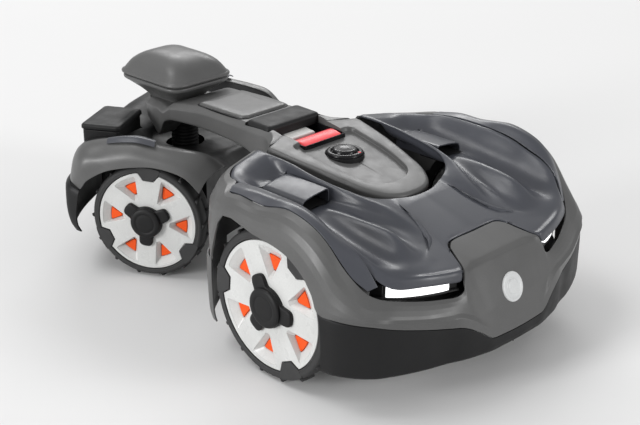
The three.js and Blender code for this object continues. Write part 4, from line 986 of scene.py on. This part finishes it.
def wheel(prefix, side, frame_matrix):
    """One wheel: R and T are the radii of the rim and of the tread, W is the tyre's width."""
    w = WHEELS[prefix]
    sign = 1 if side == "left" else -1
    place = frame_matrix @ Matrix(((0, 0, sign, sign * w["face"]), (1, 0, 0, w["y"]), (0, 1, 0, w["z"]),
                                   (0, 0, 0, 1)))
    R, T, W = w["rim"], w["tyre"], w["width"]
    body = f"{prefix}_wheel_{side}"
    notches = [w["notch"] + 120 * k for k in range(3)]
    pockets = [w["notch"] + 30 + 60 * k for k in range(6)]

    outline = []
    for a in notches:
        outline += [polar(0.99 * R, a - 12.6), polar(0.84 * R, a - 7.4), polar(0.84 * R, a + 7.4),
                    polar(0.99 * R, a + 12.6)]
        outline += arc(0.99 * R, a + 14, a + 106, 30)
    holes, cups, tiles = [], [], []
    for k, a in enumerate(pockets):
        low, high = (13, 18) if k % 2 == 0 else (18, 13)
        hole = round_outline([polar(0.46 * R, a + 4.5), polar(0.46 * R, a - 4.5),
                              *arc(0.925 * R, a - low, a + high, 6)],
                             [1.5, 1.5, 4, 0, 0, 0, 0, 0, 4], 4)
        window = round_outline([polar(0.55 * R, a + 2.6), polar(0.55 * R, a - 2.6),
                                *arc(0.795 * R, a - 10.5, a + 10.5, 6)],
                               [1, 1, 2, 0, 0, 0, 0, 0, 2], 4)
        holes.append(hole)
        near = [p.lerp(q, 0.84) for p, q in zip(hole, window)]
        rings = [(inset(hole, 0.2), -2.4), (near, -9.6), (window, -10.4), (window, -12.4),
                 (inset(hole, -1.6), -9.4), (inset(hole, -1.6), -3.6), (inset(hole, 0.2), -2.4)]
        cups.append(loft([[(p.x, p.y, h) for p in ring] for ring, h in rings], place, caps=False))
        heart = polar(0.70 * R, a)
        tiles.append(loft([[(*heart.lerp(p, grow), h) for p in window] for grow, h in
                           ((1.12, -14.6), (1.12, -12.8), (0.9, -12.6), (0.88, -9.9), (0.8, -9.2))], place))
    face = plate([outline, *holes], 5.5, 0.8, place @ Matrix.Translation((0, 0, -7.2)))
    barrel = turned([(0.968 * R, -7.4), (0.968 * R, -W + 4), (0.92 * R, -W + 2.4), (0.83 * R, -W + 4),
                     (0.81 * R, -W + 9), (0.81 * R, -18), (0.86 * R, -12), (0.90 * R, -8), (0.968 * R, -7.4)],
                    place, 72)
    hub = turned([(8.6, -10.6), (8.6, -W + 9), (20, -W + 9), (24, -W + 14), (24, -13), (0.42 * R, -10.8),
                  (8.6, -10.6)], place, 48)
    finish_piece(join(face, *cups, barrel, hub), f"{prefix}_rim_face_{side}", "rim_silver", body,
                 [f"{prefix}_rim_{side}"])
    tray = turned([(0.44 * R, -16.6), (0.80 * R, -16.6), (0.80 * R, -14.2), (0.44 * R, -14.2),
                   (0.44 * R, -16.6)], place, 72)
    finish_piece(join(tray, *tiles), f"{prefix}_orange_{side}", "insert_orange", body,
                 [f"{prefix}_insert_{side}"])

    casing = turned([(R + 0.4, -1.4), (R + 1.0, -0.6), (R + 2.4, -0.5), (R + 3.0, -1.0), (R + 4.0, -1.1),
                     (R + 4.8, -0.5), (T - 4.6, -0.9), (T - 2.2, -2.6), (T - 0.5, -6), (T, -10),
                     (T, -W / 2 + 3), (T - 1.4, -W / 2 + 1.6), (T - 1.4, -W / 2 - 1.6), (T, -W / 2 - 3),
                     (T, -W + 10), (T - 0.5, -W + 6), (T - 2.2, -W + 2.6), (T - 5, -W + 0.6), (R - 1, -W),
                     (R - 3, -W + 1.5), (0.975 * R, -W + 5), (0.975 * R, -7), (R + 0.4, -6.4), (R + 0.4, -1.4)],
                    place, 108)
    rubber = [casing]
    for k in range(w["lugs"]):
        turn = place @ Matrix.Rotation(2 * math.pi * k / w["lugs"], 4, "Z")
        near, far = (-3.2, -W * 0.46) if k % 2 else (-W * 0.54, -W + 3.2)
        tip, top = (near - 1.2, far + 0.8) if k % 2 else (near - 0.8, far + 1.2), T + w["lug"]
        here, there = -4.2, -4.2 + (3.4 if k % 2 else -3.4)
        low = [(here, T - 2.6, near), (here + 8.4, T - 2.6, near), (there + 8.4, T - 2.6, far),
               (there, T - 2.6, far)]
        high = [(here + 2.6, top - 0.5, tip[0]), (here + 6.2, top - 0.9, tip[0]),
                (there + 6.2, top - 0.3, tip[1]), (there + 2.6, top, tip[1])]
        rubber.append(loft([low, high], turn))
    for a in notches:
        corners = [polar(0.852 * R, a + 6.6), polar(0.852 * R, a - 6.6), polar(0.99 * R, a - 11.8),
                   polar(T - 2.6, a - 12.8), *arc(T - 2.2, a - 10, a + 10, 4), polar(T - 2.6, a + 12.8),
                   polar(0.99 * R, a + 11.8)]
        rubber.append(plate([corners], 8.4, 0.7, place @ Matrix.Translation((0, 0, -8.6))))
    finish_piece(join(*rubber), f"{prefix}_tread_{side}", "tyre", body, [f"{prefix}_tyre_{side}"])

    lobes = []
    for k in range(120):
        angle = 3.0 * k
        away = min(abs((angle - (n + 60) + 180) % 360 - 180) for n in notches)
        swell = 1 / (1 + math.exp((away - 19) / 2.6))
        lobes.append(polar((0.315 + 0.185 * swell) * R, angle))
    cap = loft([[(*(p * s), h) for p in lobes] for s, h in ((1, -6.8), (1, 2.6), (0.985, 3.8), (0.95, 4.6),
                                                            (0.8, 5.2), (0.3, 5.6))], place)
    boss = turned([(0, 1), (0.305 * R, 1), (0.305 * R, 7), (0.298 * R, 8.8), (0.275 * R, 10.2),
                   (0.235 * R, 10.8), (0.205 * R, 10.7), (0.198 * R, 9.9), (0.176 * R, 9.9), (0.168 * R, 10.6),
                   (0.10 * R, 10.8), (0, 10.8)], place, 64)
    finish_piece(join(cap, boss), f"{prefix}_hub_{side}", "dark_grey", body, [f"{prefix}_hub_cap_{side}"])


# ------------------------------------------------------------------ rear body
REAR_COVER = [  # rows from the rear to the front: centre, shoulder, valley, crest, flank, skirt edge
    [(0, 162, 150), (70, 160, 150), (130, 153, 152), (172, 142, 158), (196, 128, 158), (204.5, 110, 150)],
    [(0, 151, 182), (70, 148, 184), (130, 141, 188), (176, 129, 200), (202, 116, 184), (207, 104, 157)],
    [(0, 138, 206), (70, 135, 210), (130, 126, 212), (180, 111, 219), (206, 101, 203), (209, 96, 167)],
    [(0, 100, 216), (70, 98, 222), (130, 92, 222), (180, 76, 230), (206, 68, 210), (210, 62, 188)],
    [(0, 62, 200), (70, 60, 212), (130, 54, 220), (184, 44, 237), (207, 40, 216), (210, 40, 195)],
    [(0, 58, 178), (66, 30, 188), (130, 20, 216), (186, 14, 240), (207, 10, 220), (210, 10, 201)],
    [(0, -58, 178), (66, -20, 186), (130, -22, 212), (186, -22, 234), (207, -22, 218), (210, -22, 204)],
    [(0, -90, 178), (60, -66, 183), (126, -66, 206), (182, -62, 229), (206, -56, 214), (210, -54, 200)],
    [(0, -112, 180), (56, -102, 186), (120, -104, 196), (174, -100, 222), (203, -82, 206), (209, -80, 190)],
    [(0, -124, 160), (52, -118, 168), (112, -122, 178), (164, -128, 200), (196, -112, 186), (206, -102, 166)],
]
REAR_TRIM = [[(172, 66, 235), (182, 64, 237), (192, 62, 232)],
             [(174, 40, 241), (185, 38, 243.5), (196, 36, 238)],
             [(174, 10, 244), (186, 8, 246), (197, 6, 240.5)],
             [(174, -20, 239), (185, -22, 241.5), (196, -24, 236)]]


def rear_shell():
    """Grey fenders over the wheels with a darker deck sunk between them."""
    half = [row[::-1] for row in vectors(REAR_COVER)]
    rows = [row + [Vector((-p.x, p.y, p.z)) for p in reversed(row[:-1])] for row in half]
    net = refine(rows[::-1], 4, 4)
    hole = turned([(0, 140), (34, 140), (34, 240), (0, 240)], REAR, 48)
    bay = block(-136.5, -37.5, 63.5, 133.5, 150, 260, REAR)
    deck = thick(grid([[p - Vector((0, 0, 0.9)) for p in row[9:-9]] for row in net], REAR), WALL)
    finish_piece(cut(deck, hole, bay), "rear_deck", "dark_grey", "rear_body", ["rear_cover"], bevel=0.6,
                 sharp=45)
    for name, columns in (("rear_fender_left", slice(0, 10)), ("rear_fender_right", slice(-10, None))):
        finish_piece(grid([row[columns] for row in net], REAR), name, "shell_grey", "rear_body", bevel=0.7,
                     skin=THICK_WALL, sharp=45)


def steering_post():
    """The post under the arm's foot in its pleated sleeve, and the cross block that the rear body rolls on."""
    yoke = block(-26, 26, -64, 64, 104, 136, REAR)
    lying = REAR @ Matrix.Translation((0, 0, 120)) @ Matrix.Rotation(math.pi / 2, 4, "X")
    pins = turned([(0, -80), (7, -80), (8, -79), (8, 79), (7, 80), (0, 80)], lying, 32)
    finish_piece(join(yoke, pins), "yoke_block", "steel", "steering_yoke", ["steering_yoke"], bevel=1.5)
    pleats = [(0, 136.2), (23, 136.2), (24, 138)]
    for z in range(140, 218, 6):
        pleats += [(24, z), (21.6, z + 2.6), (24, z + 5.2)]
    sleeve = turned([*pleats, (23.4, 224), (0, 224.6)], REAR, 56)
    finish_piece(sleeve, "post_sleeve", "dark_grey", "steering_yoke")


def rear_trims():
    """Flush inlays on top of the rear fenders."""
    both_sides(refine(vectors(REAR_TRIM), 6, 5), REAR, "rear_inlay", "cover_blue_grey", "rear_body", "rear_trim",
               bevel=0.4, skin=1.6, sharp=50)


def rear_bumper():
    """Skirt under the rear cover, round its back corners."""
    plan = [(200, 127, 153), (188, 135, 156), (160, 147, 153.5), (110, 157, 149), (56, 161, 148),
            (0, 163, 147.5)]
    half = [[(205.4, 109, 147.5), (207.6, 110, 143), (208.5, 112, 131), (207.8, 116, 106), (206, 116, 86),
             (203.5, 111, 74)]]
    for x, y, top in plan:
        half.append([(x - 0.4, y - 1.5, top), (x + 1.2, y + 3.4, top - 5), (x + 1.5, y + 5.4, 131),
                     (x + 1, y + 5, 106), (x, y + 1, 86), (x - 1, y - 6, 74)])
    finish_piece(grid(refine(mirror_rows(vectors(half)), 4, 4), REAR), "rear_bumper_skirt", "dark_grey",
                 "rear_body", ["rear_bumper"], bevel=0.7, skin=THICK_WALL, sharp=50)


def rear_case():
    """The lidded box on the rear deck."""
    outer = round_outline([(-135, 65), (-39, 65), (-39, 132), (-135, 132)], 7)
    tub = cut(loft(rings_of(outer, [(1, 205.4), (0, 206.4), (0, 229.2), (0.8, 230.2)]), REAR),
              column(round_outline([(-131, 69), (-43, 69), (-43, 128), (-131, 128)], 5), 209, 260, REAR))
    finish_piece(tub, "case_tub", "dark_grey", "rear_body", ["rear_box"], bevel=0.5)
    cover = round_outline([(-138, 62), (-36, 62), (-36, 134), (-138, 134)], 9, 8)
    side = [(0.8, 231.7), (0, 232.5), (0, 236.6), (0.5, 238.2), (1.8, 239.6), (4, 240.2), (6, 239.8)]
    lid = cushion(cover, side, 0.8, 3, ((-118, 82), (-56, 114)), REAR,
                  lambda _x, y: 0.9 * (1 - ((y - 98) / 36) ** 2))
    finish_piece(lid, "case_lid", "dark_grey", "rear_box_lid", ["rear_box_lid"])


for build in (top_cover, surround, side_trims, bumper, rear_guards, sensor_visors, lamps, badge, console, knob,
              buttons, arm, hatch, antenna):
    build()
for wheel_side in ("left", "right"):
    wheel("front", wheel_side, FRONT)
    wheel("rear", wheel_side, REAR)
for build in (rear_shell, steering_post, rear_trims, rear_bumper, rear_case):
    build()


# ------------------------------------------------------------------ floor, light and camera
def floor_look():
    """Pale paper with a faint unevenness."""
    material, nodes, links, bsdf = shader("studio_floor")
    cloud = noise(nodes, links, nodes.new("ShaderNodeTexCoord"), 900, 1)
    links.new(ramp(nodes, links, cloud, (0.74, 0.74, 0.74), (0.76, 0.76, 0.76)), bsdf.inputs["Base Color"])
    bsdf.inputs["Roughness"].default_value = 0.9
    return material


def studio():
    """The floor, the pale surroundings and four soft lights, far off so that the floor is lit evenly."""
    bm = bmesh.new()
    bmesh.ops.create_grid(bm, x_segments=8, y_segments=8, size=30)
    floor = object_of(bm, "floor")
    floor.data.materials.append(floor_look())

    bpy.context.scene.view_settings.view_transform = "Standard"
    world = bpy.data.worlds.new("studio")
    bpy.context.scene.world = world
    world.use_nodes = True
    sky = world.node_tree.nodes["Background"].inputs
    sky["Color"].default_value = (1, 1, 1, 1)
    sky["Strength"].default_value = 0.54

    def area(name, at, target, size, energy):
        light = bpy.data.lights.new(name, "AREA")
        light.shape = "RECTANGLE"
        light.size, light.size_y = size
        light.energy = energy
        lamp = add_object(name, light)
        lamp.location = at
        lamp.rotation_euler = (Vector(target) - Vector(at)).to_track_quat("-Z", "Y").to_euler()

    area("key_light", (-3.0, 3.0, 7.5), (0, 0, 0.1), (4.5, 3.0), 200)
    area("back_strip", (5.0, 4.8, 4.6), (0, 0, 0.15), (5.0, 1.0), 210)
    area("front_fill", (2.6, -8, 2.6), (0, -0.2, 0.15), (2.2, 3.6), 270)
    area("side_fill", (-8.5, 1.6, 2.4), (0, 0.2, 0.15), (2.2, 3.2), 470)


CAMERA_PLACE = (-1.3974, -1.4768, 0.9948)
AZIMUTH, ELEVATION = math.radians(-44.87), math.radians(23.36)


def camera():
    view = bpy.data.cameras.new("camera")
    view.lens = 75.18
    view.sensor_width = 36
    view.clip_end = 100
    holder = add_object("camera", view)
    ahead = Vector((-math.sin(AZIMUTH) * math.cos(ELEVATION), math.cos(AZIMUTH) * math.cos(ELEVATION),
                    -math.sin(ELEVATION)))
    holder.location = CAMERA_PLACE
    holder.rotation_euler = ahead.to_track_quat("-Z", "Y").to_euler()
    bpy.context.scene.camera = holder


studio()
camera()
